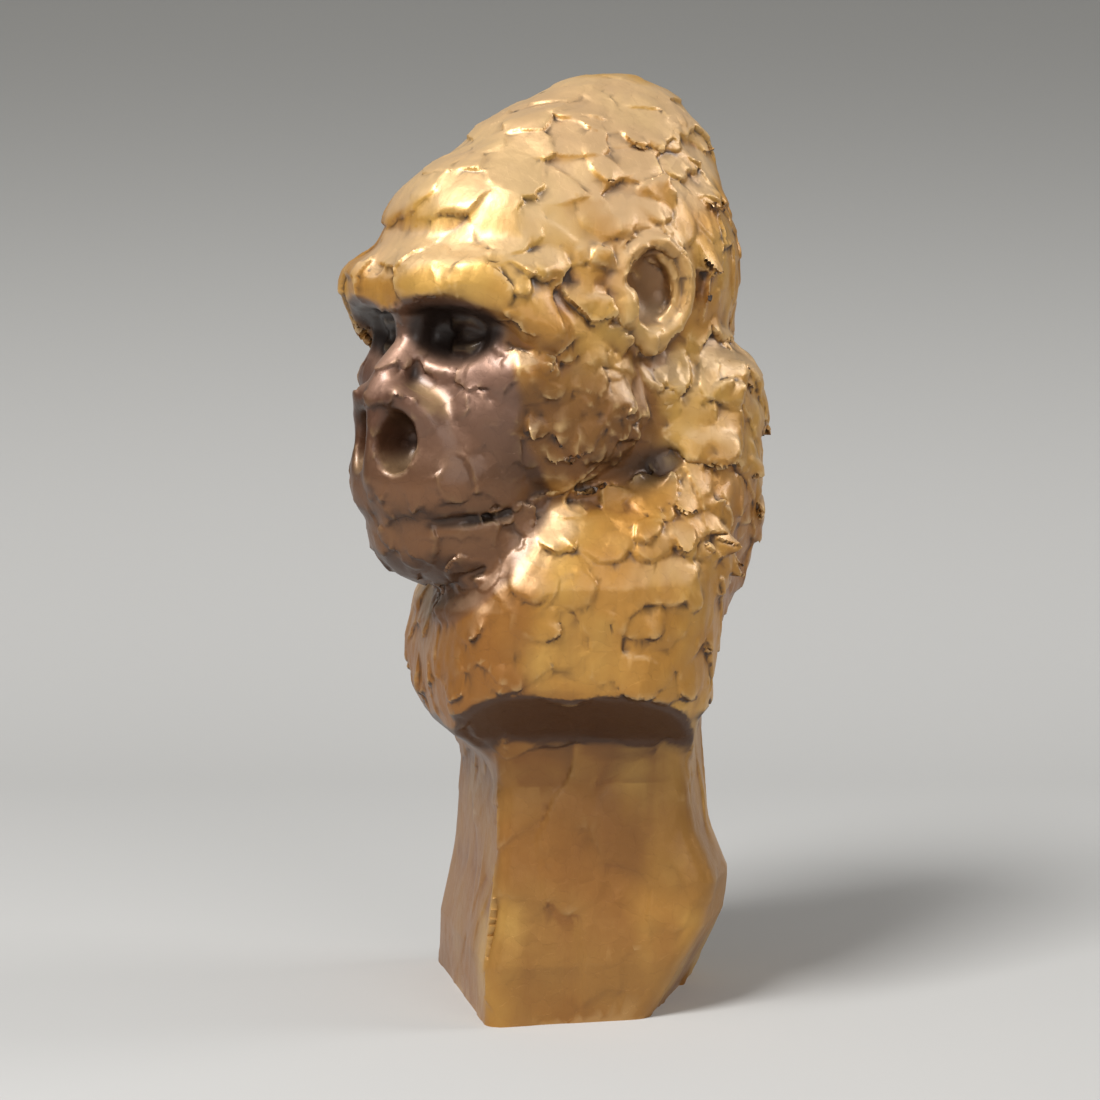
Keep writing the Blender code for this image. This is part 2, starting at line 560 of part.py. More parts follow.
class Dab:
    """One slab or dab of clay, pressed flush on the form with its thick front standing clear."""

    SPOKES = 28
    RINGS = 5

    def __init__(self, frame, turn, height, lean, length, width, rise):
        self.frame = frame
        self.turn = math.radians(turn)
        self.height = height
        self.lean = math.radians(lean)
        self.length = length
        self.width = width
        self.rise = rise

    def outline(self, wobble):
        """How far the uneven rim lies from the middle at each spoke, for a dab one unit long."""
        around = np.linspace(0, 2 * math.pi, self.SPOKES, endpoint=False)
        reach = np.full(self.SPOKES, 1.0)
        for waves, swing in ((2, 0.08), (3, 0.06), (5, 0.04), (8, 0.03)):
            reach += swing * np.cos(waves * around + wobble.uniform(0, 2 * math.pi))
        return around, reach / 2

    def press_on(self, work, form, place, wobble):
        """Put the dab into the clay, every point of it at its own height above the form."""
        way = Vector((math.cos(self.turn), math.sin(self.turn), 0))
        outside = CHEST_CORNER_FRONT_LEFT + HEAD_HEIGHT
        start = place @ (way * outside + Vector((0, 0, self.height)))
        spot, normal, _, _ = form.ray_cast(start, place.to_3x3() @ -way)
        if spot is None:
            return
        side = Vector((0, 0, 1)).cross(normal).normalized()
        ahead = side * math.cos(self.lean) + normal.cross(side) * math.sin(self.lean)
        across = normal.cross(ahead)
        around, reach = self.outline(wobble)

        def corner(x, y, rise):
            flat = spot + ahead * (x * self.length) + across * (y * self.width)
            near, upright, _, _ = form.find_nearest(flat)
            return work.verts.new(near + (upright + normal) * (rise / 2))

        middle = corner(0, 0, self.rise * self.profile(0, 0))
        rings = []
        for out in np.linspace(1 / self.RINGS, 1, self.RINGS):
            rings.append([corner(out * r * math.cos(a), out * r * math.sin(a),
                                 self.rise * self.profile(out * r * math.cos(a), out))
                          for a, r in zip(around, reach)])
        inset = 0.94
        rings.append([corner(inset * r * math.cos(a), inset * r * math.sin(a), -DAB_ROOT)
                      for a, r in zip(around, reach)])
        for i in range(self.SPOKES):
            j = (i + 1) % self.SPOKES
            work.faces.new((middle, rings[0][i], rings[0][j]))
            for inner, outer in zip(rings, rings[1:]):
                work.faces.new((inner[i], outer[i], outer[j], inner[j]))
        work.faces.new(rings[-1][::-1])

    @staticmethod
    def profile(x, out):
        """Share of the full rise at a distance along the dab, from -0.5 at its back to 0.5."""
        front = max(x + 0.5, 0) ** 1.3
        return 1.35 * front - 0.35 - 0.12 * (1 - out ** 2) - 0.1 * (out > 0.99)


def dab_rows(frame, turns, heights, gap, scale, lean, wobble):
    """A stretch of the surface covered with dabs, in rows that a hand would not keep straight."""
    low, high = heights
    first, last = turns
    rows = max(2, round((high - low) / gap) + 1)
    around = math.radians(last - first) * SKULL_HALF_WIDTH
    columns = max(2, round(around / gap) + 1)
    stray = 0.3 * gap
    dabs = []
    for row, height in enumerate(np.linspace(low, high, rows)):
        for column in range(columns):
            share = (column + 0.5 * (row % 2)) / columns
            aside = math.degrees(wobble.uniform(-stray, stray) / SKULL_HALF_WIDTH)
            size = scale * wobble.uniform(0.75, 1.25)
            dabs.append(Dab(frame, first + (last - first) * share + aside,
                            height + wobble.uniform(-stray, stray), lean + wobble.uniform(-50, 50),
                            size * DAB_LENGTH, size * DAB_WIDTH, DAB_RISE * wobble.uniform(0.7, 1.2)))
    return dabs


def covering_dabs(wobble):
    """The dabs that cover the hair, the nape and the shoulders. Their fronts point down."""
    over_ear = EAR_LEVEL + EAR_HEIGHT / 2
    crown_rows = (over_ear + 9 * MM, CREST_TOP - 16 * MM)
    behind_ear_rows = (-8 * MM, over_ear)
    nape_rows = (SHOULDER_TOP - 40 * MM, SHOULDER_TOP + 32 * MM)
    shoulder_rows = (CHEST_WIDEST_HEIGHT - 4 * MM, SHOULDER_TOP - 28 * MM)
    cheek_rows = (-2 * MM - NOSE_DROP, 34 * MM - NOSE_DROP)
    return (dab_rows("head", (-25, 205), crown_rows, 18 * MM, 1.0, -90, wobble)
            + dab_rows("head", (35, 145), behind_ear_rows, 18 * MM, 1.0, -90, wobble)
            + dab_rows("torso", (15, 165), nape_rows, 18 * MM, 1.1, -90, wobble)
            + dab_rows("torso", (-100, 60), shoulder_rows, 17 * MM, 0.9, -80, wobble)
            + dab_rows("torso", (120, 240), shoulder_rows, 17 * MM, 0.9, -100, wobble)
            + dab_rows("head", (-46, -8), cheek_rows, 14 * MM, 0.7, -70, wobble)
            + dab_rows("head", (188, 226), cheek_rows, 14 * MM, 0.7, -110, wobble))


def large_slabs():
    """The large slabs and folds. Those on the head are laid on both its sides."""
    on_head = [
        (8, -8, -70, 26, 15, 3.4), (28, 32, -85, 22, 19, 3.4), (27, 15, 175, 9, 22, 3.2),
        (1, 44, 60, 20, 15, 3.2), (-29, 22, 95, 15, 9, 2.8), (-34, 6, 30, 18, 13, 2.6),
        (-26, -4, 40, 20, 13, 2.8), (-26, -18, -70, 20, 16, 2.6), (-38, -28, -85, 24, 19, 3.2),
        (-21, -26, -80, 20, 16, 3.0), (-49, -27, -110, 14, 11, 2.8), (-45, -36, -90, 13, 10, 3.0),
        (-51, -9, 20, 11, 8, 2.4), (31, 62, -30, 24, 12, 2.4), (38, 52, -60, 24, 15, 2.8),
        (-55, 18, -40, 16, 10, 2.2),
    ]
    on_torso = [
        (37, 10, -75, 30, 26, 4.2), (46, 16, 40, 24, 12, 3.4), (29, -4, -80, 20, 11, 1.6),
        (52, 24, 20, 22, 16, 3.2), (54, 0, -20, 22, 14, 2.8), (-31, -22, 65, 18, 15, 3.4),
        (-21, -17, 85, 16, 20, 3.8), (-4, -15, 100, 16, 22, 3.6), (5, -18, -60, 26, 15, 3.2),
        (15, -12, 70, 18, 18, 3.4), (20, -22, -95, 22, 9, 3.4), (31, -27, -20, 20, 15, 5.0),
        (36, -22, 30, 16, 12, 4.6), (43, -32, -60, 18, 12, 5.0), (-20, -22, -60, 22, 14, 2.4),
        (-40, -38, 130, 22, 14, 2.6), (-49, -50, 150, 20, 14, 2.2), (150, 12, -105, 28, 24, 3.8),
        (168, -6, -110, 24, 18, 3.2), (195, -14, 80, 18, 20, 3.4), (222, -18, 100, 18, 18, 3.2),
        (90, 20, -90, 30, 26, 3.6), (110, -8, -80, 26, 20, 3.2), (75, -14, -100, 26, 20, 3.2),
    ]
    slabs = []
    for turn, height, lean, length, width, rise in on_head:
        sizes = (length * MM, width * MM, rise * MM)
        slabs.append(Dab("head", turn, height * MM, lean, *sizes))
        slabs.append(Dab("head", 180 - turn, height * MM, 180 - lean, *sizes))
    for turn, height, lean, length, width, rise in on_torso:
        slabs.append(Dab("torso", turn, SHOULDER_TOP + height * MM, lean, length * MM, width * MM, rise * MM))
    return slabs


def press_dabs(clay, mesh):
    """Press the covering dabs on the form, and the large slabs over them."""
    work = bmesh.new()
    work.from_mesh(mesh)
    form = BVHTree.FromBMesh(work)
    wobble = np.random.default_rng(7)
    for dab in covering_dabs(wobble) + large_slabs():
        place = clay.frames[dab.frame]
        dab.press_on(work, form, place, wobble)
    return fused(work, FINE_VOXEL)


def thinned(mesh, most_triangles):
    """The same skin with fewer triangles, kept closest where the form turns most."""
    mesh.calc_loop_triangles()
    share = most_triangles / len(mesh.loop_triangles)

    def set_up(holder):
        decimate = holder.modifiers.new("fewer_triangles", "DECIMATE")
        decimate.decimate_type = "COLLAPSE"
        decimate.use_collapse_triangulate = True
        decimate.ratio = share

    return evaluated_copy(mesh, set_up)


def saw_flat(mesh):
    """Saw the foot off flat at the ground, so that the bust has a seat to stand on."""
    work = bmesh.new()
    work.from_mesh(mesh)
    everything = work.verts[:] + work.edges[:] + work.faces[:]
    cut = bmesh.ops.bisect_plane(
        work, geom=everything, plane_co=(0, 0, 0), plane_no=(0, 0, -1), clear_outer=True)["geom_cut"]
    edges = [item for item in cut if isinstance(item, bmesh.types.BMEdge)]
    seat = bmesh.ops.contextual_create(work, geom=edges)["faces"]
    bmesh.ops.triangulate(work, faces=seat)
    bmesh.ops.dissolve_degenerate(work, dist=0.02 * MM, edges=work.edges)
    bmesh.ops.triangulate(work, faces=work.faces)
    work.to_mesh(mesh)
    work.free()


def bronze():
    """Warm patinated bronze."""
    material = bpy.data.materials.new("patinated_bronze")
    material.use_nodes = True
    surface = material.node_tree.nodes["Principled BSDF"]
    surface.inputs["Base Color"].default_value = BRONZE_COLOUR
    surface.inputs["Roughness"].default_value = BRONZE_ROUGHNESS
    surface.inputs["Metallic"].default_value = BRONZE_METALLIC
    return material


def main():
    for thing in list(bpy.data.objects):
        bpy.data.objects.remove(thing)
    clay = Clay()
    model_torso(clay)
    model_skull(clay)
    model_muzzle(clay)
    model_eyes(clay)
    model_nose(clay)
    model_ears(clay)
    form = modelled_form(clay)
    covered = press_dabs(clay, form)
    finished = thinned(covered, MOST_TRIANGLES)
    saw_flat(finished)
    finished.name = "gorilla_bust"
    finished.materials.append(bronze())
    finished.shade_smooth()
    bust = bpy.data.objects.new("gorilla_bust", finished)
    bpy.context.scene.collection.objects.link(bust)


main()
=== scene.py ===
"""Looks of the gorilla bust: a bronze cast from hand-modelled clay, with a golden and violet patina.

The bust is modelled in the order a sculptor works. Rounded masses are put together and melted into
each other, hollows are pressed in for the eyes, nostrils, mouth and ears, slabs are laid on where
the photograph shows them, and dabs of clay are pressed over the rest. The cast is then patinated,
with shade painted dark into its hollows and under its overhangs, and highlights painted on its
raised edges and upward faces.
Lengths are metres, +Z is up, the face looks along -Y and the foot's middle is the origin.
"""

from __future__ import annotations

import logging
import math
from dataclasses import dataclass, field
from enum import Enum
from typing import Iterator, Protocol, Sequence

import bmesh
import bpy
import numpy as np
from mathutils import Euler, Matrix, Vector
from mathutils.bvhtree import BVHTree

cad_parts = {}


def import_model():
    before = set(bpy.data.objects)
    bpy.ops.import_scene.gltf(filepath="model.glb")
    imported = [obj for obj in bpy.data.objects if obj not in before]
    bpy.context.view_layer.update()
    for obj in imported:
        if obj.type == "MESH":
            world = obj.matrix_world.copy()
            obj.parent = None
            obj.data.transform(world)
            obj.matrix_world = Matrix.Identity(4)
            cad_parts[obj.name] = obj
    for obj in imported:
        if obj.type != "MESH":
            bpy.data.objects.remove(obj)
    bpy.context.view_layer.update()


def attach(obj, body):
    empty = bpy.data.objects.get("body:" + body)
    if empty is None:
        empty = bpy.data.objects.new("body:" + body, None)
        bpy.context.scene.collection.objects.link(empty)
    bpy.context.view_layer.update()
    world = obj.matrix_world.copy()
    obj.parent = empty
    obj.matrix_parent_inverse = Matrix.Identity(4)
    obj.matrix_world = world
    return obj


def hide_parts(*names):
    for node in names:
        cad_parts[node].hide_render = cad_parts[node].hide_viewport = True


LOG = logging.getLogger("gorilla_bust")
MM = 0.001

Triple = tuple[float, float, float]
Colour = tuple[float, float, float, float]
Array = np.ndarray
Random = np.random.Generator
Mesh = bpy.types.Mesh
Tree = bpy.types.NodeTree
Socket = bpy.types.NodeSocket
Rows = list[tuple[float, float]]


class Part(Enum):
    """The two parts of the bust that have directions of their own."""

    HEAD = "head"
    TORSO = "torso"


class Work(Enum):
    """What a modelling step does with its shape."""

    ADD = "add"
    HOLLOW = "hollow"
    SLICE = "slice"


def turn_matrix(degrees: Triple) -> Array:
    """Rotation matrix for turns in degrees about X, Y and then Z."""
    return np.array(Euler([math.radians(turn) for turn in degrees]).to_matrix())


def soft_min(a: Array, b: Array, blend: float) -> Array:
    """The smaller of two distances, melted together over the blend width."""
    if blend <= 0:
        return np.minimum(a, b)
    overlap = np.maximum(blend - np.abs(a - b), 0) / blend
    return np.minimum(a, b) - overlap**2 * blend / 4


def soft_max(a: Array, b: Array, blend: float) -> Array:
    """The larger of two distances, melted together over the blend width."""
    return -soft_min(-a, -b, blend)


def smooth_step(low: float, high: float, value: Array) -> Array:
    """0 below low, 1 above high, and an even S between them."""
    share = np.clip((value - low) / (high - low), 0, 1)
    return share * share * (3 - 2 * share)


def drift(points: Array, spacing: float, seed: int) -> Array:
    """Uneven waves in space, a vector of about one at each point, from broad waves to ripples.

    Args:
        points: Positions, one row each.
        spacing: Size of what the waves are made for.
        seed: Picks the waves.

    Returns:
        A vector for each point.
    """
    strayed = np.zeros_like(points)
    random = np.random.default_rng(seed)
    for wave, swing in ((2.6, 1.0), (1.2, 0.55), (0.45, 0.3), (0.22, 0.16)):
        for axis in range(3):
            ways = random.normal(size=(3, 3)) / (wave * spacing / 2.2)
            shift = random.uniform(0, 2 * math.pi, 3)
            strayed[:, axis] += swing * np.sin(points @ ways.T + shift).sum(1) / 3
    return strayed


class Shape(Protocol):
    """A lump of clay or a modelling tool: it knows its own surface and can be put into a mesh."""

    at: Array
    reach: float | None

    def distance(self, points: Array) -> Array:
        """Signed distance from points to the surface, negative inside."""

    def put_into(self, clay: bmesh.types.BMesh, place: Matrix) -> None:
        """Add the shape's own rough mesh to the clay."""


def round_lump(subdivisions: int) -> Mesh:
    """A ball of radius one, as a mesh to stamp copies from."""
    work = bmesh.new()
    bmesh.ops.create_icosphere(work, subdivisions=subdivisions, radius=1.0)
    lump = bpy.data.meshes.new("lump")
    work.to_mesh(lump)
    work.free()
    return lump


def stamp(clay: bmesh.types.BMesh, lump: Mesh, place: Matrix) -> None:
    """Put a copy of a mesh into the clay. A mirroring place keeps its faces pointing out."""
    copy = lump.copy()
    copy.transform(place)
    if place.determinant() < 0:
        copy.flip_normals()
    clay.from_mesh(copy)
    bpy.data.meshes.remove(copy)


class Ball:
    """An egg of clay with its own half sizes and turn."""

    def __init__(self, at: Triple, radii: Triple, turn: Triple = (0, 0, 0)) -> None:
        """Keep the egg's middle, its half sizes and its turn in degrees."""
        self.at = np.array(at, float)
        self.radii = np.array(radii, float)
        self.turn = turn_matrix(turn)
        self.reach = float(self.radii.max())

    def distance(self, points: Array) -> Array:
        """Signed distance from points to the egg, negative inside."""
        local = (points - self.at) @ self.turn
        near = np.linalg.norm(local / self.radii, axis=1)
        slope = np.linalg.norm(local / self.radii**2, axis=1)
        return near * (near - 1) / np.maximum(slope, 1e-6)

    def put_into(self, clay: bmesh.types.BMesh, place: Matrix) -> None:
        """Add the egg's mesh to the clay."""
        turned = place @ Matrix.Translation(self.at) @ Matrix(self.turn).to_4x4()
        stamp(clay, round_lump(subdivisions=5), turned @ Matrix.Diagonal((*self.radii, 1)))


class Roll:
    """A roll of clay that runs through points and may taper."""

    def __init__(self, points: Sequence[Triple], radii: Sequence[float]) -> None:
        """Keep the points the roll runs through and its radius at each."""
        self.points = np.array(points, float)
        self.radii = np.array(radii, float)
        self.at = (self.points.min(0) + self.points.max(0)) / 2
        self.reach = float(np.linalg.norm(np.ptp(self.points, axis=0)) / 2 + self.radii.max())

    def stretches(self) -> Iterator[tuple[Array, Array, float, float]]:
        """Start, end and the two radii of each straight stretch."""
        return zip(self.points[:-1], self.points[1:], self.radii[:-1], self.radii[1:])

    def distance(self, points: Array) -> Array:
        """Signed distance from points to the roll, negative inside."""
        nearest = np.full(len(points), np.inf)
        for start, end, thick, thin in self.stretches():
            run = end - start
            along = np.clip((points - start) @ run / max(run @ run, 1e-12), 0, 1)
            gap = np.linalg.norm(points - start - along[:, None] * run, axis=1)
            nearest = np.minimum(nearest, gap - thick - (thin - thick) * along)
        return nearest

    def put_into(self, clay: bmesh.types.BMesh, place: Matrix) -> None:
        """Add the roll to the clay as a close string of beads."""
        bead = round_lump(subdivisions=3)
        for start, end, thick, thin in self.stretches():
            beads = 2 + int(np.linalg.norm(end - start) / min(thick, thin) * 2)
            for share in np.linspace(0, 1, beads):
                radius = thick + (thin - thick) * share
                at = place @ Matrix.Translation(start + (end - start) * share)
                stamp(clay, bead, at @ Matrix.Scale(radius, 4))


class Block:
    """An upright block with flat sides. Each side has a compass angle and its reach at some heights."""

    def __init__(self, sides: list[tuple[float, Rows]], bottom: float, top: float, rounding: float) -> None:
        """Keep the sides, each a compass angle with its (height, reach) rows, and the block's ends."""
        self.sides = sides
        self.bottom = bottom
        self.top = top
        self.rounding = rounding
        self.at = np.array((0, 0, (bottom + top) / 2))
        self.reach = (top - bottom) / 2 + max(reach for _, rows in sides for _, reach in rows)

    def distance(self, points: Array) -> Array:
        """Signed distance from points to the block, negative inside."""
        outside = None
        for angle, rows in self.sides:
            heights, reaches = zip(*rows)
            way = math.radians(angle)
            across = points[:, 0] * math.cos(way) + points[:, 1] * math.sin(way)
            side = across - np.interp(points[:, 2], heights, reaches)
            outside = side if outside is None else soft_max(outside, side, self.rounding)
        ends = np.maximum(points[:, 2] - self.top, self.bottom - points[:, 2])
        return np.maximum(outside, ends)

    def corner_reach(self, angle: float, height: float) -> float:
        """How far out the surface lies in one compass direction at one height."""
        reaches = []
        for side_angle, rows in self.sides:
            lean = math.cos(math.radians(angle - side_angle))
            if lean > 0.05:
                heights, sizes = zip(*rows)
                reaches.append(np.interp(height, heights, sizes) / lean)
        return min(reaches)

    def put_into(self, clay: bmesh.types.BMesh, place: Matrix) -> None:
        """Add the block to the clay as rings of points, bridged and capped."""
        ring_points, ring_step = 48, 5 * MM
        levels = np.linspace(self.bottom, self.top, 2 + int((self.top - self.bottom) / ring_step))
        rings = []
        for level in levels:
            ring = []
            for angle in np.linspace(0, 360, ring_points, endpoint=False):
                out = self.corner_reach(angle, level)
                way = math.radians(angle)
                spot = Vector((out * math.cos(way), out * math.sin(way), level))
                ring.append(clay.verts.new(place @ spot))
            rings.append(ring)
        edges = [[clay.edges.new((a, b)) for a, b in zip(ring, ring[1:] + ring[:1])] for ring in rings]
        for lower, upper in zip(edges, edges[1:]):
            bmesh.ops.bridge_loops(clay, edges=lower + upper)
        clay.faces.new(rings[0][::-1])
        clay.faces.new(rings[-1])


class Slice:
    """A flat knife cut. What lies on the side its normal points to is taken off."""

    def __init__(self, at: Triple, normal: Triple) -> None:
        """Keep a point of the cut and the way it faces. A cut has no reach: it goes right through."""
        self.at = np.array(at, float)
        self.normal = np.array(normal, float) / np.linalg.norm(normal)
        self.reach = None

    def distance(self, points: Array) -> Array:
        """Signed distance from points to the cut, negative on the side that stays."""
        return (points - self.at) @ self.normal

    def put_into(self, clay: bmesh.types.BMesh, place: Matrix) -> None:
        """A cut adds no clay."""


@dataclass
class Step:
    """One step of the modelling."""

    work: Work
    part: Part
    shape: Shape
    blend: float
    both_sides: bool


@dataclass
class Clay:
    """The modelling steps in order, and the distance to the surface that they leave."""

    torso_turn: float = math.radians(-31)
    head_at: Triple = (2 * MM, -9.5 * MM, 230 * MM)
    far: float = 60 * MM
    margin: float = 9 * MM
    steps: list[Step] = field(default_factory=list)

    def frame(self, part: Part) -> Matrix:
        """Where a part's own directions lie in the world."""
        if part is Part.HEAD:
            return Matrix.Translation(self.head_at)
        return Matrix.Rotation(self.torso_turn, 4, "Z")

    def add(self, part: Part, shape: Shape, blend: float, both_sides: bool = False) -> None:
        """Put a lump on."""
        self.steps.append(Step(Work.ADD, part, shape, blend, both_sides))

    def hollow(self, part: Part, shape: Shape, blend: float, both_sides: bool = False) -> None:
        """Press a hollow in."""
        self.steps.append(Step(Work.HOLLOW, part, shape, blend, both_sides))

    def slice(self, part: Part, shape: Shape, blend: float) -> None:
        """Cut a piece off with a knife."""
        self.steps.append(Step(Work.SLICE, part, shape, blend, False))

    def local(self, points: Array, part: Part, both_sides: bool = False) -> Array:
        """Points as a part sees them.

        Args:
            points: World positions, one row each.
            part: The part whose directions to use.
            both_sides: Fold the points to the part's +X side.

        Returns:
            The points in the part's own directions.
        """
        inverse = np.array(self.frame(part).inverted())
        seen = points @ inverse[:3, :3].T + inverse[:3, 3]
        if both_sides:
            seen[:, 0] = np.abs(seen[:, 0])
        return seen

    def distance(self, points: Array, with_hollows: bool = True) -> Array:
        """Signed distance from points to the clay, negative inside it."""
        gap = np.full(len(points), self.far)
        seen: dict[tuple[Part, bool], Array] = {}
        for step in self.steps:
            if step.work is not Work.ADD and not with_hollows:
                continue
            key = (step.part, step.both_sides)
            if key not in seen:
                seen[key] = self.local(points, *key)
            near = np.ones(len(points), bool)
            if step.shape.reach is not None:
                limit = step.shape.reach + step.blend + self.margin
                near = np.linalg.norm(seen[key] - step.shape.at, axis=1) < limit
            found = step.shape.distance(seen[key][near])
            if step.work is Work.ADD:
                gap[near] = soft_min(gap[near], found, step.blend)
            elif step.work is Work.HOLLOW:
                gap[near] = soft_max(gap[near], -found, step.blend)
            else:
                gap[near] = soft_max(gap[near], found, step.blend)
        return gap

    def outward(self, points: Array, gap: Array, with_hollows: bool = True) -> Array:
        """Direction of the steepest way out of the clay at points whose distance to it is the gap."""
        step = 0.3 * MM
        slope = np.empty_like(points)
        for axis in range(3):
            nudge = np.zeros(3)
            nudge[axis] = step
            slope[:, axis] = self.distance(points + nudge, with_hollows) - gap
        return slope / np.maximum(np.linalg.norm(slope, axis=1, keepdims=True), 1e-9)

    def put_together(self) -> bmesh.types.BMesh:
        """One mesh of every added mass, still as separate overlapping solids."""
        clay = bmesh.new()
        for step in self.steps:
            if step.work is Work.ADD:
                step.shape.put_into(clay, self.frame(step.part))
                if step.both_sides:
                    mirrored = self.frame(step.part) @ Matrix.Diagonal((-1, 1, 1, 1))
                    step.shape.put_into(clay, mirrored)
        return clay


@dataclass
class Torso:
    """Chest with cut-off shoulders, neck, and the faceted column and foot, in the torso's directions."""

    neck_half_width: float = 42 * MM
    nape_back: float = 64 * MM
    back_half_width: float = 48 * MM
    shoulder_top: float = 190 * MM
    chest_front: float = 59 * MM
    chest_back: float = 44 * MM
    corners_back: float = 67 * MM
    corner_front_left: float = 82 * MM
    corner_front_right: float = 61 * MM
    left_shoulder_reach: float = 69 * MM
    right_shoulder_reach: float = 61 * MM
    widest: float = 124 * MM
    chest_bottom: float = 88 * MM
    underside_edge: float = 112 * MM
    column_half_width: float = 43 * MM
    column_front: float = 37 * MM
    column_back: float = 41.5 * MM
    waist: float = 80 * MM
    foot_half_width: float = 51 * MM
    foot_front: float = 42 * MM
    foot_back: float = 51 * MM
    foot_height: float = 45 * MM
    foot_cut_back: float = 17 * MM
    seat_trim: float = 6 * MM

    def model(self, clay: Clay) -> None:
        """Model the torso's masses in order: chest, underside, column, back and neck."""
        chest = Block(self.chest_sides(), self.chest_bottom, self.shoulder_top, 18 * MM)
        clay.add(Part.TORSO, chest, 0)
        self.cut_underside(clay)
        column = Block(self.column_sides(), -self.seat_trim, self.joins + 10 * MM, 5 * MM)
        clay.add(Part.TORSO, column, 5 * MM)
        back_at = (0, self.nape_back - 50 * MM, self.shoulder_top - 16 * MM)
        clay.add(Part.TORSO, Ball(back_at, (self.back_half_width, 50 * MM, 54 * MM)), 12 * MM)
        neck_at = (2 * MM, self.nape_back - 44 * MM, self.shoulder_top + 14 * MM)
        clay.add(Part.TORSO, Ball(neck_at, (self.neck_half_width, 44 * MM, 38 * MM)), 8 * MM)

    @property
    def joins(self) -> float:
        """Height at which the column runs into the chest."""
        return self.shoulder_top - 50 * MM

    def cut_underside(self, clay: Clay) -> None:
        """Cut the shoulders and the chest off below, slanting in to the column."""
        left = (self.left_shoulder_reach - 1 * MM, 0, self.underside_edge)
        right = (-self.right_shoulder_reach - 2 * MM, 0, self.underside_edge - 4 * MM)
        front = (0, -self.chest_front, self.underside_edge - 9 * MM)
        clay.slice(Part.TORSO, Slice(left, (0.6, -0.05, -0.8)), 2 * MM)
        clay.slice(Part.TORSO, Slice(right, (-0.6, -0.05, -0.8)), 2 * MM)
        clay.slice(Part.TORSO, Slice(front, (0, -0.58, -0.81)), 2 * MM)

    def chest_sides(self) -> list[tuple[float, Rows]]:
        """The sides of the chest block, narrowing from its widest height to its top and bottom."""
        widest, bottom, top = self.widest, self.chest_bottom, self.shoulder_top
        front, back = self.chest_front, self.chest_back
        sides = [
            (-90, [(bottom, front - 9 * MM), (widest - 16 * MM, front - 2 * MM), (widest, front),
                   (widest + 16 * MM, front - 3 * MM), (widest + 32 * MM, front - 11 * MM),
                   (widest + 48 * MM, front - 22 * MM), (top, front - 34 * MM)]),
            (90, [(bottom, back - 12 * MM), (widest - 14 * MM, back - 6 * MM),
                  (widest + 6 * MM, back - 2 * MM), (widest + 26 * MM, back)]),
        ]
        for angle, reach in ((0, self.left_shoulder_reach), (180, self.right_shoulder_reach)):
            sides.append((angle, [(bottom, reach - 9 * MM), (widest - 12 * MM, reach - 1 * MM),
                                  (widest + 24 * MM, reach), (widest + 40 * MM, reach - 5 * MM),
                                  (widest + 54 * MM, reach - 15 * MM), (top, reach - 27 * MM)]))
        for angle in (45, 135):
            reach = self.corners_back
            sides.append((angle, [(bottom, reach - 9 * MM), (widest - 9 * MM, reach - 4 * MM),
                                  (widest + 26 * MM, reach), (top - 10 * MM, reach - 6 * MM)]))
        corners = ((-45, self.corner_front_left, 8 * MM), (-135, self.corner_front_right, 13 * MM))
        for angle, reach, slope in corners:
            sides.append((angle, [(bottom, reach - 7 * MM), (widest - 12 * MM, reach + 1 * MM),
                                  (widest + 16 * MM, reach), (widest + 36 * MM, reach - slope),
                                  (top - 10 * MM, reach - 2.7 * slope)]))
        return sides

    def column_sides(self) -> list[tuple[float, Rows]]:
        """The column's facets. The foot's near back corner is cut under, where the clay tore."""
        foot, front, back = self.foot_height, self.column_front, self.column_back
        half, wide = self.column_half_width, self.foot_half_width
        waist, joins = self.waist, self.joins
        return [
            (-90, [(0, self.foot_front), (20 * MM, self.foot_front), (foot, self.foot_front - 4 * MM),
                   (waist, front - 1 * MM), (joins, front + 7 * MM)]),
            (0, [(0, wide - 2 * MM), (20 * MM, wide - 1 * MM), (foot, wide - 4 * MM), (waist, half),
                 (joins, half + 3 * MM)]),
            (62, [(0, self.foot_back - self.foot_cut_back), (30 * MM, self.foot_back),
                  (foot, self.foot_back + 3 * MM), (62 * MM, back + 6 * MM), (waist + 15 * MM, back + 1 * MM),
                  (joins, back + 8 * MM)]),
            (90, [(0, self.foot_back - 4 * MM), (20 * MM, self.foot_back), (foot, self.foot_back - 1 * MM),
                  (62 * MM, back + 2 * MM), (waist, back), (joins, back + 6 * MM)]),
            (128, [(0, self.foot_back - 3 * MM), (30 * MM, self.foot_back + 2 * MM), (60 * MM, back + 5 * MM),
                   (waist + 15 * MM, back + 5 * MM), (joins, back + 12 * MM)]),
            (180, [(0, wide), (20 * MM, wide), (foot, wide - 4 * MM), (waist, half - 1 * MM),
                   (joins, half + 7 * MM)]),
            (-136, [(0, self.foot_front + 24 * MM), (20 * MM, self.foot_front + 22 * MM),
                    (50 * MM, front + 18 * MM), (waist + 10 * MM, front + 15 * MM),
                    (joins, front + 23 * MM)]),
        ]


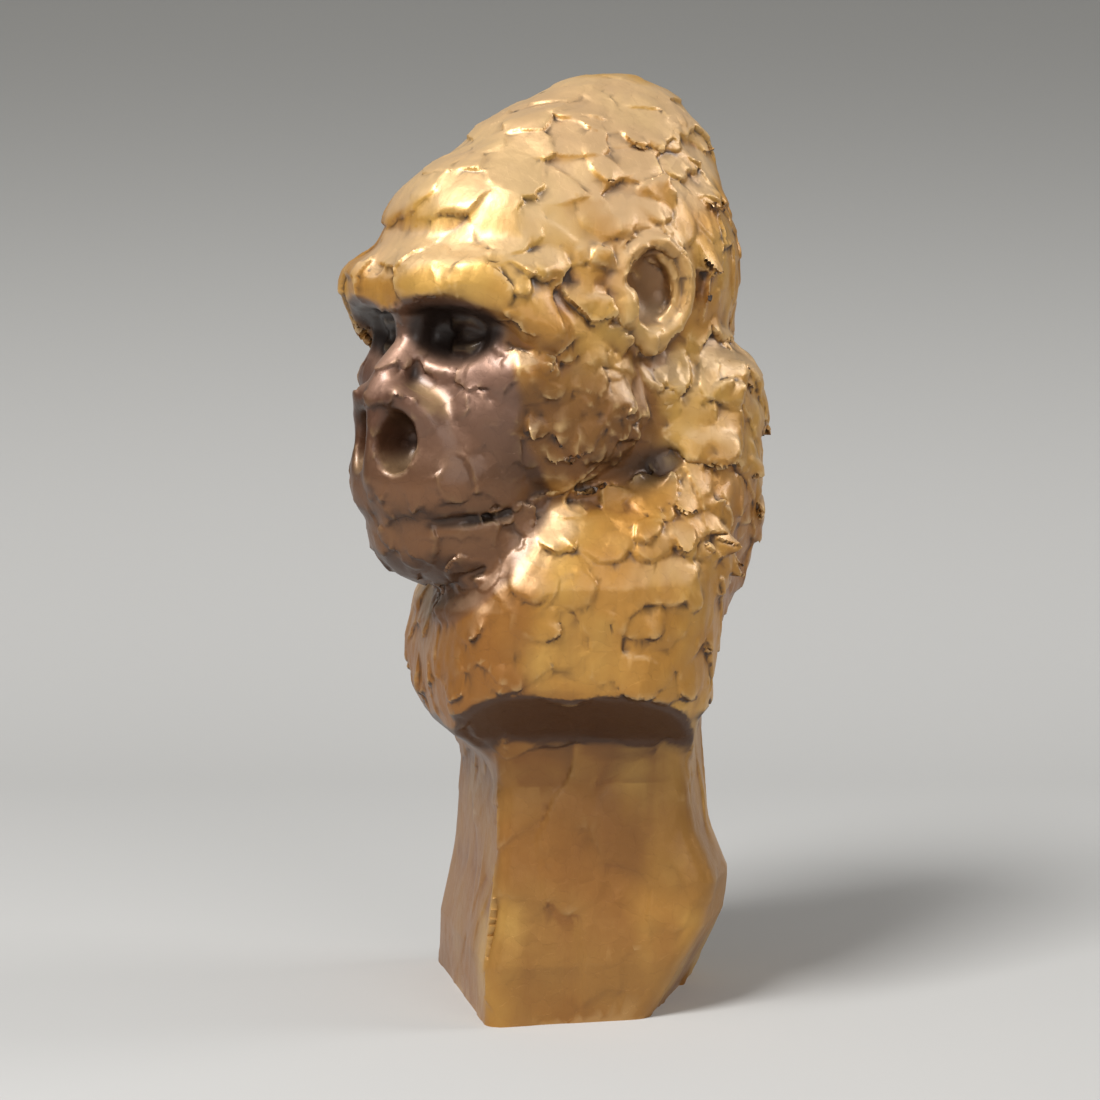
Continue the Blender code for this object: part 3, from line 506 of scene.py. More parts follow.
@dataclass
class Head:
    """The gorilla's head, measured from the point between its ears at the height of its eyes."""

    skull_half_width: float = 50 * MM
    skull_back: float = 68 * MM
    crest_top: float = 90.5 * MM
    crest_half_width: float = 33 * MM
    forehead_reach: float = 66 * MM
    brow_reach: float = 80 * MM
    brow_half_width: float = 48 * MM
    brow_thickness: float = 15 * MM
    eye_half_spacing: float = 17.7 * MM
    eye_reach: float = 60.5 * MM
    eye_radius: float = 7.5 * MM
    nose_reach: float = 85 * MM
    nose_drop: float = 34 * MM
    nose_half_width: float = 21.5 * MM
    nostril_half_spacing: float = 9.2 * MM
    nostril_width: float = 13.6 * MM
    nostril_height: float = 19.6 * MM
    muzzle_reach: float = 85 * MM
    muzzle_half_width: float = 33 * MM
    mouth_drop: float = 62 * MM
    mouth_opening: float = 3.6 * MM
    chin_drop: float = 84 * MM
    jaw_half_width: float = 47 * MM
    cheek_half_width: float = 43 * MM
    ear_forward: float = 4 * MM
    ear_level: float = 15 * MM
    ear_height: float = 36 * MM
    ear_length: float = 32 * MM
    ear_stands_out: float = 7 * MM
    ear_bowl_depth: float = 8 * MM

    def model(self, clay: Clay) -> None:
        """Model the head's masses in order, from the skull to the ears."""
        self.model_skull(clay)
        self.model_muzzle(clay)
        self.model_eyes(clay)
        self.model_nose(clay)
        self.model_mouth(clay)
        self.model_ears(clay)

    def pair(self, clay: Clay, shape: Shape, blend: float) -> None:
        """Put a lump on the head's left side and its mirror image on the right."""
        clay.add(Part.HEAD, shape, blend, both_sides=True)

    def model_skull(self, clay: Clay) -> None:
        """The cranium with its high crest, the forehead, the temples and the jaws."""
        wide, crest = self.skull_half_width, self.crest_half_width
        skull_at = (0, self.skull_back - 62 * MM, 22 * MM)
        clay.add(Part.HEAD, Ball(skull_at, (wide, 62 * MM, 50 * MM)), 8 * MM)
        crest_at = (0, 22 * MM, self.crest_top - 37.5 * MM)
        clay.add(Part.HEAD, Ball(crest_at, (crest, 42 * MM, 37.5 * MM)), 10 * MM)
        front_at = (0, -6 * MM, self.crest_top - 46.5 * MM)
        clay.add(Part.HEAD, Ball(front_at, (crest + 3 * MM, 40 * MM, 34 * MM)), 8 * MM)
        forehead_at = (0, 29 * MM - self.forehead_reach, 26 * MM)
        clay.add(Part.HEAD, Ball(forehead_at, (37 * MM, 29 * MM, 28 * MM)), 12 * MM)
        above_at = (0, 23 * MM - self.forehead_reach, 33 * MM)
        clay.add(Part.HEAD, Ball(above_at, (30 * MM, 23 * MM, 24 * MM)), 12 * MM)
        temple = Ball((wide - 23 * MM, -26 * MM, 0), (18 * MM, 32 * MM, 36 * MM))
        self.pair(clay, temple, 8 * MM)
        clay.add(Part.HEAD, Ball((0, -44 * MM, -10 * MM), (36 * MM, 26 * MM, 28 * MM)), 8 * MM)
        jaw = Ball((self.jaw_half_width - 20 * MM, -12 * MM, -28 * MM), (20 * MM, 34 * MM, 27 * MM))
        self.pair(clay, jaw, 8 * MM)

    def model_muzzle(self, clay: Clay) -> None:
        """The muzzle, the chin and the cheeks beside them."""
        muzzle_at = (0, 33 * MM - self.muzzle_reach, 15 * MM - self.mouth_drop)
        clay.add(Part.HEAD, Ball(muzzle_at, (self.muzzle_half_width, 33 * MM, 25 * MM)), 8 * MM)
        chin_at = (0, 37 * MM - self.muzzle_reach, 18 * MM - self.chin_drop)
        clay.add(Part.HEAD, Ball(chin_at, (self.muzzle_half_width - 3 * MM, 30 * MM, 18 * MM)), 5 * MM)
        disc = Ball((22 * MM, -52 * MM, 6 * MM - self.nose_drop), (15 * MM, 17 * MM, 22 * MM), (0, 0, -30))
        self.pair(clay, disc, 5 * MM)
        bone = Ball((self.cheek_half_width - 12 * MM, -51 * MM, -14 * MM), (12 * MM, 10 * MM, 9 * MM))
        self.pair(clay, bone, 5 * MM)
        cheek_at = (self.cheek_half_width - 8 * MM, -32 * MM, -26 * MM)
        cheek = Ball(cheek_at, (12 * MM, 22 * MM, 24 * MM), (0, 0, -20))
        self.pair(clay, cheek, 6 * MM)

    def model_eyes(self, clay: Clay) -> None:
        """The sockets under the overhanging brow, and the eyeballs with their lids."""
        socket_at = (self.eye_half_spacing + 2.3 * MM, -self.eye_reach - 10.5 * MM, 1 * MM)
        socket = Ball(socket_at, (17 * MM, 14.5 * MM, 12 * MM), (0, 0, -24))
        clay.hollow(Part.HEAD, socket, 3 * MM, both_sides=True)
        half, reach, wide = self.brow_thickness / 2, self.brow_reach, self.brow_half_width
        brow = [
            (0, half - reach, 14 * MM),
            (13 * MM, half - reach, 17 * MM),
            (wide - 22 * MM, half + 6.5 * MM - reach, 16.5 * MM),
            (wide - 12 * MM, half + 16.5 * MM - reach, 11 * MM),
            (wide - 6 * MM, half + 26.5 * MM - reach, 1 * MM),
        ]
        thickness = [half - 1 * MM, half, half + 0.5 * MM, half, half - 1.5 * MM]
        self.pair(clay, Roll(brow, thickness), 5 * MM)
        clay.add(Part.HEAD, Ball((0, 24 * MM - reach, 20 * MM), (33 * MM, 22 * MM, 13 * MM)), 6 * MM)
        ledge = Ball((24 * MM, 30 * MM - reach, 18 * MM), (18 * MM, 18 * MM, 12 * MM), (0, 0, -28))
        self.pair(clay, ledge, 6 * MM)
        ball, aside = self.eye_radius, self.eye_half_spacing
        eyeball = Ball((aside, ball - self.eye_reach, 0.5 * MM), (ball, ball, ball))
        self.pair(clay, eyeball, 1 * MM)
        for lid_height, bow in ((3.6 * MM, 1.6 * MM), (-3.4 * MM, -1.2 * MM)):
            lid = [
                (aside - 8.5 * MM, 4.5 * MM - self.eye_reach, lid_height * 0.2),
                (aside - 3.5 * MM, 0.6 * MM - self.eye_reach, lid_height + bow),
                (aside + 3.5 * MM, 0.8 * MM - self.eye_reach, lid_height + bow),
                (aside + 9 * MM, 6 * MM - self.eye_reach, lid_height * 0.2),
            ]
            thin, thick = 1.5 * MM, 2.1 * MM
            self.pair(clay, Roll(lid, [thin, thick, thick, thin]), 0.8 * MM)

    def model_nose(self, clay: Clay) -> None:
        """The bridge, the raised rims of the nostrils, and the nostrils."""
        reach, drop, wide = self.nose_reach, self.nose_drop, self.nose_half_width
        bridge = [
            (0, 18 * MM - reach, 12 * MM),
            (0, 16.5 * MM - reach, -2 * MM),
            (0, 8 * MM - reach, 20 * MM - drop),
        ]
        clay.add(Part.HEAD, Roll(bridge, [6 * MM, 4.5 * MM, 6 * MM]), 5 * MM)
        body_at = (0, 19 * MM - reach, 1 * MM - drop)
        clay.add(Part.HEAD, Ball(body_at, (wide - 0.5 * MM, 18 * MM, 18 * MM)), 6 * MM)
        thick = 4.2 * MM
        rim = [
            (0, 4 * MM - reach, 15 * MM - drop),
            (8 * MM, 4.5 * MM - reach, 14 * MM - drop),
            (wide - 6.5 * MM, 10 * MM - reach, 8 * MM - drop),
            (wide - 4 * MM, 16 * MM - reach, -2 * MM - drop),
            (wide - 7.5 * MM, 13 * MM - reach, -12 * MM - drop),
        ]
        self.pair(clay, Roll(rim, [thick, thick, thick, thick, 3 * MM]), 4 * MM)
        septum = [(0, 2 * MM - reach, 12 * MM - drop), (0, 1 * MM - reach, -12 * MM - drop)]
        clay.add(Part.HEAD, Roll(septum, [2.6 * MM, 3 * MM]), 4 * MM)
        nostril_at = (self.nostril_half_spacing, 2 * MM - reach, -0.5 * MM - drop)
        radii = (self.nostril_width / 2, 13 * MM, self.nostril_height / 2)
        clay.hollow(Part.HEAD, Ball(nostril_at, radii, (0, 0, 16)), 2 * MM, both_sides=True)

    def mouth_line(self) -> list[Triple]:
        """Points along the line where the lips meet, from the middle to one corner."""
        reach, drop, wide = self.muzzle_reach, self.mouth_drop, self.muzzle_half_width
        return [
            (0, -reach, -drop),
            (14 * MM, 4 * MM - reach, -drop),
            (wide - 9 * MM, 17 * MM - reach, 2 * MM - drop),
            (wide - 4 * MM, 33 * MM - reach, 5 * MM - drop),
        ]

    def neck_crease(self) -> list[Triple]:
        """Points along the gap between the jaw and the shoulder."""
        aside = self.jaw_half_width + 3 * MM
        return [
            (aside, -34 * MM, -45 * MM),
            (aside + 2 * MM, -14 * MM, -45 * MM),
            (aside - 2 * MM, 4 * MM, -42 * MM),
        ]

    def model_mouth(self, clay: Clay) -> None:
        """The long line of the closed lips."""
        line = Roll(self.mouth_line(), [self.mouth_opening / 2] * 4)
        clay.hollow(Part.HEAD, line, 2 * MM, both_sides=True)

    def model_ears(self, clay: Clay) -> None:
        """A thick oval on each side, a bowl pressed into it, its rolled rim and the folds inside."""
        root, level, ahead = self.skull_half_width - 5 * MM, self.ear_level, -self.ear_forward
        tall, long = self.ear_height / 2, self.ear_length / 2
        oval = Ball((root, ahead, level), (self.ear_stands_out, long, tall))
        self.pair(clay, oval, 4 * MM)
        bowl_at = (root + 16.5 * MM - self.ear_bowl_depth, ahead - 1 * MM, level + 1 * MM)
        bowl = Ball(bowl_at, (12 * MM, long - 2.5 * MM, tall - 3 * MM))
        clay.hollow(Part.HEAD, bowl, 1.5 * MM, both_sides=True)
        rim, thick = self.rim_points(root, 165, -100, 2.2 * MM), 2 * MM
        rim_thickness = [1.2 * MM] + [thick] * (len(rim) - 2) + [1.6 * MM]
        self.pair(clay, Roll(rim, rim_thickness), 2 * MM)
        fold = self.rim_points(root - 2.5 * MM, 75, -60, 6.5 * MM)
        fold_thickness = [0.8 * MM] + [1.5 * MM] * (len(fold) - 1)
        self.pair(clay, Roll(fold, fold_thickness), 1.5 * MM)
        flap_at = (root + 2.5 * MM, ahead - long + 5 * MM, level - 6 * MM)
        self.pair(clay, Ball(flap_at, (3.2 * MM, 4 * MM, 7 * MM), (0, 0, 20)), 2 * MM)
        lobe_at = (root + 2 * MM, ahead + 1 * MM, level - tall + 1 * MM)
        self.pair(clay, Ball(lobe_at, (4 * MM, 6 * MM, 4.5 * MM)), 2 * MM)

    def rim_points(self, out: float, first: float, last: float, inset: float) -> list[Triple]:
        """Points along an ear's oval outline.

        Args:
            out: How far the points stand to the side of the head.
            first: Degrees of the first point, 0 at the back and 90 at the top.
            last: Degrees of the last point.
            inset: How far the oval lies inside the ear's own outline.

        Returns:
            The points, in order.
        """
        tall, long = self.ear_height / 2 - inset, self.ear_length / 2 - inset
        bow = 2.5 * MM
        points = []
        for angle in np.radians(np.linspace(first, last, 12)):
            across = long * math.cos(angle) - self.ear_forward
            stands = out + 3.5 * MM + bow * math.cos(angle)
            points.append((stands, across, self.ear_level + tall * math.sin(angle)))
        return points


@dataclass
class DabLayer:
    """One kind of dab that is pressed over the whole figure where its cover attribute allows.

    Attributes:
        name: The layer, which is also the end of its cover attribute's name.
        spacing: Least distance between two dabs.
        length: A dab's length along its comb.
        width: Its width across.
        height: How far its front stands above the form.
        wander: Most that a dab turns away from the comb, in radians.
        seed: Picks the dabs' places and sizes.
    """

    name: str
    spacing: float
    length: float
    width: float
    height: float
    wander: float
    seed: int


class DabPress:
    """Geometry Nodes tree that presses dabs of clay flush on a form, all combed about one way."""

    sizes = ("Spacing", "Length", "Width", "Height", "Wander")
    most_dense = 60000.0

    def __init__(self, dab: bpy.types.Object, form: bpy.types.Object, finish: bpy.types.Material) -> None:
        """Build the tree.

        Args:
            dab: The object to press copies of: flat, one unit long, its thick end at +X. Its "rise"
                attribute says how far each corner stands above the form once it is pressed.
            form: The object whose surface the dabs follow.
            finish: The material given to the whole result.
        """
        self.dab = dab
        self.form = form
        self.finish = finish
        self.tree = bpy.data.node_groups.new("press_dabs", "GeometryNodeTree")
        self.inputs: dict[str, str] = {}
        self.build()

    def socket(self, name: str, kind: str) -> None:
        """Add a named input and keep its identifier."""
        made = self.tree.interface.new_socket(name, in_out="INPUT", socket_type=kind)
        self.inputs[name] = made.identifier

    def node(self, kind: str, **settings: object) -> bpy.types.Node:
        """Add a node with its settings."""
        made = self.tree.nodes.new(kind)
        for name, value in settings.items():
            setattr(made, name, value)
        return made

    def link(self, source: Socket, target: Socket) -> None:
        """Join two sockets."""
        self.tree.links.new(source, target)

    def random(self, low: float, high: float, seed: int) -> Socket:
        """A random number for each dab, from a seed of its own."""
        made = self.node("FunctionNodeRandomValue", data_type="FLOAT")
        made.inputs[2].default_value = low
        made.inputs[3].default_value = high
        shift = self.node("ShaderNodeMath", operation="ADD")
        shift.inputs[1].default_value = seed
        self.link(self.group.outputs["Seed"], shift.inputs[0])
        self.link(shift.outputs[0], made.inputs["Seed"])
        return made.outputs[1]

    def times(self, a: Socket, b: Socket) -> Socket:
        """The product of two sockets."""
        made = self.node("ShaderNodeMath", operation="MULTIPLY")
        self.link(a, made.inputs[0])
        self.link(b, made.inputs[1])
        return made.outputs[0]

    def attribute(self, name: str, kind: str) -> Socket:
        """A named attribute of the surface."""
        made = self.node("GeometryNodeInputNamedAttribute", data_type=kind)
        made.inputs["Name"].default_value = name
        return made.outputs["Attribute"]

    def object_geometry(self, thing: bpy.types.Object) -> Socket:
        """The geometry of another object, in its own space."""
        made = self.node("GeometryNodeObjectInfo", transform_space="ORIGINAL")
        made.inputs["Object"].default_value = thing
        return made.outputs["Geometry"]

    def turned(self, rotation: Socket, angle: Socket) -> Socket:
        """A rotation turned further about its own upright axis."""
        parts = self.node("ShaderNodeCombineXYZ")
        self.link(angle, parts.inputs["Z"])
        euler = self.node("FunctionNodeEulerToRotation")
        self.link(parts.outputs[0], euler.inputs[0])
        turn = self.node("FunctionNodeRotateRotation", rotation_space="LOCAL")
        self.link(rotation, turn.inputs[0])
        self.link(euler.outputs[0], turn.inputs[1])
        return turn.outputs[0]

    def nearest_on_form(self, field_node: str) -> Socket:
        """The form's own position or normal at the spot nearest to each corner of a dab."""
        sample = self.node("GeometryNodeSampleNearestSurface", data_type="FLOAT_VECTOR")
        self.link(self.object_geometry(self.form), sample.inputs["Mesh"])
        self.link(self.node(field_node).outputs[0], sample.inputs["Value"])
        self.link(self.node("GeometryNodeInputPosition").outputs[0], sample.inputs["Sample Position"])
        return sample.outputs["Value"]

    def pressed_flush(self, dabs: Socket) -> Socket:
        """Realized dabs laid on the form, each corner at its own rise above it."""
        rise = self.times(self.attribute("rise", "FLOAT"), self.attribute("dab_height", "FLOAT"))
        along = self.node("ShaderNodeVectorMath", operation="SCALE")
        self.link(self.nearest_on_form("GeometryNodeInputNormal"), along.inputs[0])
        self.link(rise, along.inputs["Scale"])
        place = self.node("ShaderNodeVectorMath", operation="ADD")
        self.link(self.nearest_on_form("GeometryNodeInputPosition"), place.inputs[0])
        self.link(along.outputs[0], place.inputs[1])
        lay = self.node("GeometryNodeSetPosition")
        self.link(dabs, lay.inputs["Geometry"])
        self.link(place.outputs[0], lay.inputs["Position"])
        return lay.outputs[0]

    def spread_points(self) -> tuple[Socket, Socket]:
        """Points spread where the layer's cover is, and each point's rotation along the comb."""
        spread = self.node("GeometryNodeDistributePointsOnFaces", distribute_method="POISSON")
        self.link(self.group.outputs["Geometry"], spread.inputs["Mesh"])
        self.link(self.group.outputs["Spacing"], spread.inputs["Distance Min"])
        self.link(self.group.outputs["Cover"], spread.inputs["Density Factor"])
        self.link(self.group.outputs["Seed"], spread.inputs["Seed"])
        spread.inputs["Density Max"].default_value = self.most_dense
        comb = self.node("FunctionNodeAlignRotationToVector", axis="X", pivot_axis="Z")
        self.link(spread.outputs["Rotation"], comb.inputs["Rotation"])
        self.link(self.attribute("comb", "FLOAT_VECTOR"), comb.inputs["Vector"])
        return spread.outputs["Points"], comb.outputs[0]

    def build(self) -> None:
        """Lay out the tree: spread points, turn and size a dab on each, press it flush, and join."""
        self.socket("Geometry", "NodeSocketGeometry")
        self.socket("Cover", "NodeSocketFloat")
        for name in self.sizes:
            self.socket(name, "NodeSocketFloat")
        self.socket("Seed", "NodeSocketInt")
        self.tree.interface.new_socket("Geometry", in_out="OUTPUT", socket_type="NodeSocketGeometry")
        self.group = self.node("NodeGroupInput")
        points, rotation = self.spread_points()
        swell = self.times(self.random(0.65, 1.3, 13), self.attribute("dab_size", "FLOAT"))
        size = self.node("ShaderNodeCombineXYZ")
        self.link(self.times(self.group.outputs["Length"], swell), size.inputs["X"])
        width = self.times(self.group.outputs["Width"], self.random(0.7, 1.25, 14))
        self.link(self.times(width, swell), size.inputs["Y"])
        self.link(swell, size.inputs["Z"])
        instance = self.node("GeometryNodeInstanceOnPoints")
        self.link(points, instance.inputs["Points"])
        self.link(self.object_geometry(self.dab), instance.inputs["Instance"])
        stray = self.times(self.random(-1, 1, 11), self.group.outputs["Wander"])
        self.link(self.turned(rotation, stray), instance.inputs["Rotation"])
        self.link(size.outputs[0], instance.inputs["Scale"])
        height = self.node("GeometryNodeStoreNamedAttribute", data_type="FLOAT", domain="INSTANCE")
        height.inputs["Name"].default_value = "dab_height"
        self.link(instance.outputs[0], height.inputs["Geometry"])
        rise = self.times(self.group.outputs["Height"], self.random(0.55, 1.35, 15))
        self.link(rise, height.inputs["Value"])
        dabs = self.node("GeometryNodeRealizeInstances")
        self.link(height.outputs[0], dabs.inputs[0])
        join = self.node("GeometryNodeJoinGeometry")
        self.link(self.pressed_flush(dabs.outputs[0]), join.inputs[0])
        self.link(self.group.outputs["Geometry"], join.inputs[0])
        realize = self.node("GeometryNodeRealizeInstances")
        self.link(join.outputs[0], realize.inputs[0])
        finish = self.node("GeometryNodeSetMaterial")
        finish.inputs["Material"].default_value = self.finish
        self.link(realize.outputs[0], finish.inputs["Geometry"])
        self.link(finish.outputs[0], self.node("NodeGroupOutput").inputs[0])

    def press(self, holder: bpy.types.Object, layer: DabLayer) -> None:
        """Add one layer of dabs to the object as a modifier."""
        modifier = holder.modifiers.new(layer.name, "NODES")
        modifier.node_group = self.tree
        for name in (*self.sizes, "Seed"):
            modifier[self.inputs[name]] = getattr(layer, name.lower())
        cover = self.inputs["Cover"]
        modifier[cover + "_use_attribute"] = True
        modifier[cover + "_attribute_name"] = f"cover_{layer.name}"


def thumb_dab(seed: int, rings: int = 5, spokes: int = 28) -> Mesh:
    """A flat dab of clay whose "rise" says how it stands once pressed: thick at +X, fading at -X.

    Args:
        seed: Picks the outline's unevenness.
        rings: Rings of points from the middle to the rim.
        spokes: Points around each ring.

    Returns:
        A closed mesh one unit long and wide, without height of its own.
    """
    shifts = np.random.default_rng(seed).uniform(0, 2 * math.pi, 4)
    around = np.linspace(0, 2 * math.pi, spokes, endpoint=False)
    outline = 0.5 * (1 + 0.08 * np.cos(2 * around + shifts[0]) + 0.06 * np.cos(3 * around + shifts[1])
                     + 0.04 * np.cos(5 * around + shifts[2]) + 0.03 * np.cos(8 * around + shifts[3]))
    work = bmesh.new()
    rises = [0.06]
    middle = work.verts.new((0, 0, 0))
    loops = []
    for out in np.linspace(1 / rings, 1, rings):
        loop = []
        for angle, reach in zip(around, outline):
            x, y = out * reach * math.cos(angle), out * reach * math.sin(angle)
            loop.append(work.verts.new((x, y, 0)))
            front = max(x + 0.5, 0) ** 1.3
            rises.append(-0.35 + 1.35 * front - 0.12 * (1 - out**2) - 0.1 * (out > 0.99))
        loops.append(loop)
    loops.append([work.verts.new((v.co.x * 0.94, v.co.y * 0.94, 0)) for v in loops[-1]])
    rises += [-1.1] * spokes
    for a, b in zip(loops[0], loops[0][1:] + loops[0][:1]):
        work.faces.new((middle, a, b))
    for inner, outer in zip(loops, loops[1:]):
        for i in range(spokes):
            j = (i + 1) % spokes
            work.faces.new((inner[i], outer[i], outer[j], inner[j]))
    work.faces.new(loops[-1][::-1])
    mesh = bpy.data.meshes.new("thumb_dab")
    work.to_mesh(mesh)
    work.free()
    set_attribute(mesh, "rise", np.array(rises))
    return mesh


def evaluated_copy(holder: bpy.types.Object) -> Mesh:
    """The object's mesh as its modifiers leave it. The object is removed."""
    shaped = bpy.data.meshes.new_from_object(holder.evaluated_get(bpy.context.evaluated_depsgraph_get()))
    bpy.data.objects.remove(holder)
    return shaped


def stand(mesh: Mesh) -> bpy.types.Object:
    """A working object that holds a mesh while modifiers shape it."""
    holder = bpy.data.objects.new("modelling_stand", mesh)
    bpy.context.scene.collection.objects.link(holder)
    return holder


def add_skin(holder: bpy.types.Object, voxel: float) -> None:
    """Give the object one closed skin around all its overlapping solids."""
    remesh = holder.modifiers.new("one_skin", "REMESH")
    remesh.mode = "VOXEL"
    remesh.voxel_size = voxel


def fused(clay: bmesh.types.BMesh, voxel: float) -> Mesh:
    """One closed skin around all the overlapping solids of a bmesh."""
    mesh = bpy.data.meshes.new("clay")
    clay.to_mesh(mesh)
    clay.free()
    holder = stand(mesh)
    add_skin(holder, voxel)
    return evaluated_copy(holder)


def corners_of(mesh: Mesh) -> Array:
    """The mesh's vertex positions, one row each."""
    flat = np.empty(len(mesh.vertices) * 3)
    mesh.vertices.foreach_get("co", flat)
    return flat.reshape(-1, 3)


def normals_of(mesh: Mesh) -> Array:
    """The mesh's vertex normals, one row each."""
    flat = np.empty(len(mesh.vertices) * 3)
    mesh.vertices.foreach_get("normal", flat)
    return flat.reshape(-1, 3)


def move_corners(mesh: Mesh, corners: Array) -> None:
    """Give the mesh new vertex positions."""
    mesh.vertices.foreach_set("co", corners.ravel())
    mesh.update()


def set_attribute(mesh: Mesh, name: str, values: Array) -> None:
    """Write a number or a direction for each vertex as a named attribute."""
    is_vector = values.ndim == 2
    made = mesh.attributes.new(name, "FLOAT_VECTOR" if is_vector else "FLOAT", "POINT")
    made.data.foreach_set("vector" if is_vector else "value", values.astype(np.float32).ravel())


@dataclass
class Slab:
    """One slab or dab of clay, pressed flush on the form with its thick front standing clear.

    Attributes:
        part: The part whose directions place it.
        turn: Compass angle in degrees at which it is laid on.
        height: Height of its middle in the part's own directions.
        lean: The way its front points in degrees, 90 for up.
        length: Its length.
        width: Its width.
        rise: How far its front stands above the form.
        spokes: Points around each ring.
        rings: Rings of points from the middle to the rim.
        root: How deep its edge is turned into the clay.
        least_proud: Share of the rise that is left where the rim draws back.
    """

    part: Part
    turn: float
    height: float
    lean: float
    length: float
    width: float
    rise: float
    spokes: int = 36
    rings: int = 7
    root: float = 1.6 * MM
    least_proud: float = 0.5

    def outline(self, wobble: Random) -> tuple[Array, Array]:
        """How far the uneven rim lies from the middle at each spoke, for a slab one unit long."""
        around = np.linspace(0, 2 * math.pi, self.spokes, endpoint=False)
        reach = np.full(self.spokes, 1.0)
        for waves, swing in ((2, 0.08), (3, 0.06), (5, 0.04), (8, 0.03)):
            reach += swing * np.cos(waves * around + wobble.uniform(0, 2 * math.pi))
        return around, reach / 2

    @staticmethod
    def profile(x: float, out: float) -> float:
        """Share of the full rise at a distance along the slab, from -0.5 at its back to 0.5."""
        front = max(x + 0.5, 0) ** 1.3
        return 1.35 * front - 0.35 - 0.12 * (1 - out**2) - 0.1 * (out > 0.99)

    def height_at(self, angle: float, reach: float, out: float) -> float:
        """Height above the form on one spoke. The front fades into the clay where the rim draws back."""
        height = self.rise * self.profile(out * reach * math.cos(angle), out)
        proud = min(max((2 * reach - 0.92) / 0.16, self.least_proud), 1)
        return height * (1 - out * (1 - proud)) if height > 0 else height

    def lay(self, work: bmesh.types.BMesh, form: BVHTree, place: Matrix, wobble: Random) -> None:
        """Put the slab into the clay, every point of it at its own height above the form.

        Args:
            work: The clay that takes the slab.
            form: The form's surface.
            place: Where the slab's part has its own directions.
            wobble: Gives the rim its unevenness.
        """
        turn, lean = math.radians(self.turn), math.radians(self.lean)
        way = Vector((math.cos(turn), math.sin(turn), 0))
        outside = 311 * MM
        start = place @ (way * outside + Vector((0, 0, self.height)))
        spot, normal, _, _ = form.ray_cast(start, place.to_3x3() @ -way)
        if spot is None:
            return
        side = Vector((0, 0, 1)).cross(normal).normalized()
        ahead = side * math.cos(lean) + normal.cross(side) * math.sin(lean)
        across = normal.cross(ahead)
        around, reach = self.outline(wobble)

        def corner(x: float, y: float, rise: float) -> bmesh.types.BMVert:
            """A point of the slab, set above the spot of the form that lies nearest to it."""
            flat = spot + ahead * (x * self.length) + across * (y * self.width)
            near, upright, _, _ = form.find_nearest(flat)
            return work.verts.new(near + (upright + normal) * (rise / 2))

        middle = corner(0, 0, self.rise * self.profile(0, 0))
        rings = []
        for out in np.linspace(1 / self.rings, 1, self.rings):
            rings.append([corner(out * r * math.cos(a), out * r * math.sin(a), self.height_at(a, r, out))
                          for a, r in zip(around, reach)])
        inset = 0.94
        rings.append([corner(inset * r * math.cos(a), inset * r * math.sin(a), -self.root)
                      for a, r in zip(around, reach)])
        for i in range(self.spokes):
            j = (i + 1) % self.spokes
            work.faces.new((middle, rings[0][i], rings[0][j]))
            for inner, outer in zip(rings, rings[1:]):
                work.faces.new((inner[i], outer[i], outer[j], inner[j]))
        work.faces.new(rings[-1][::-1])


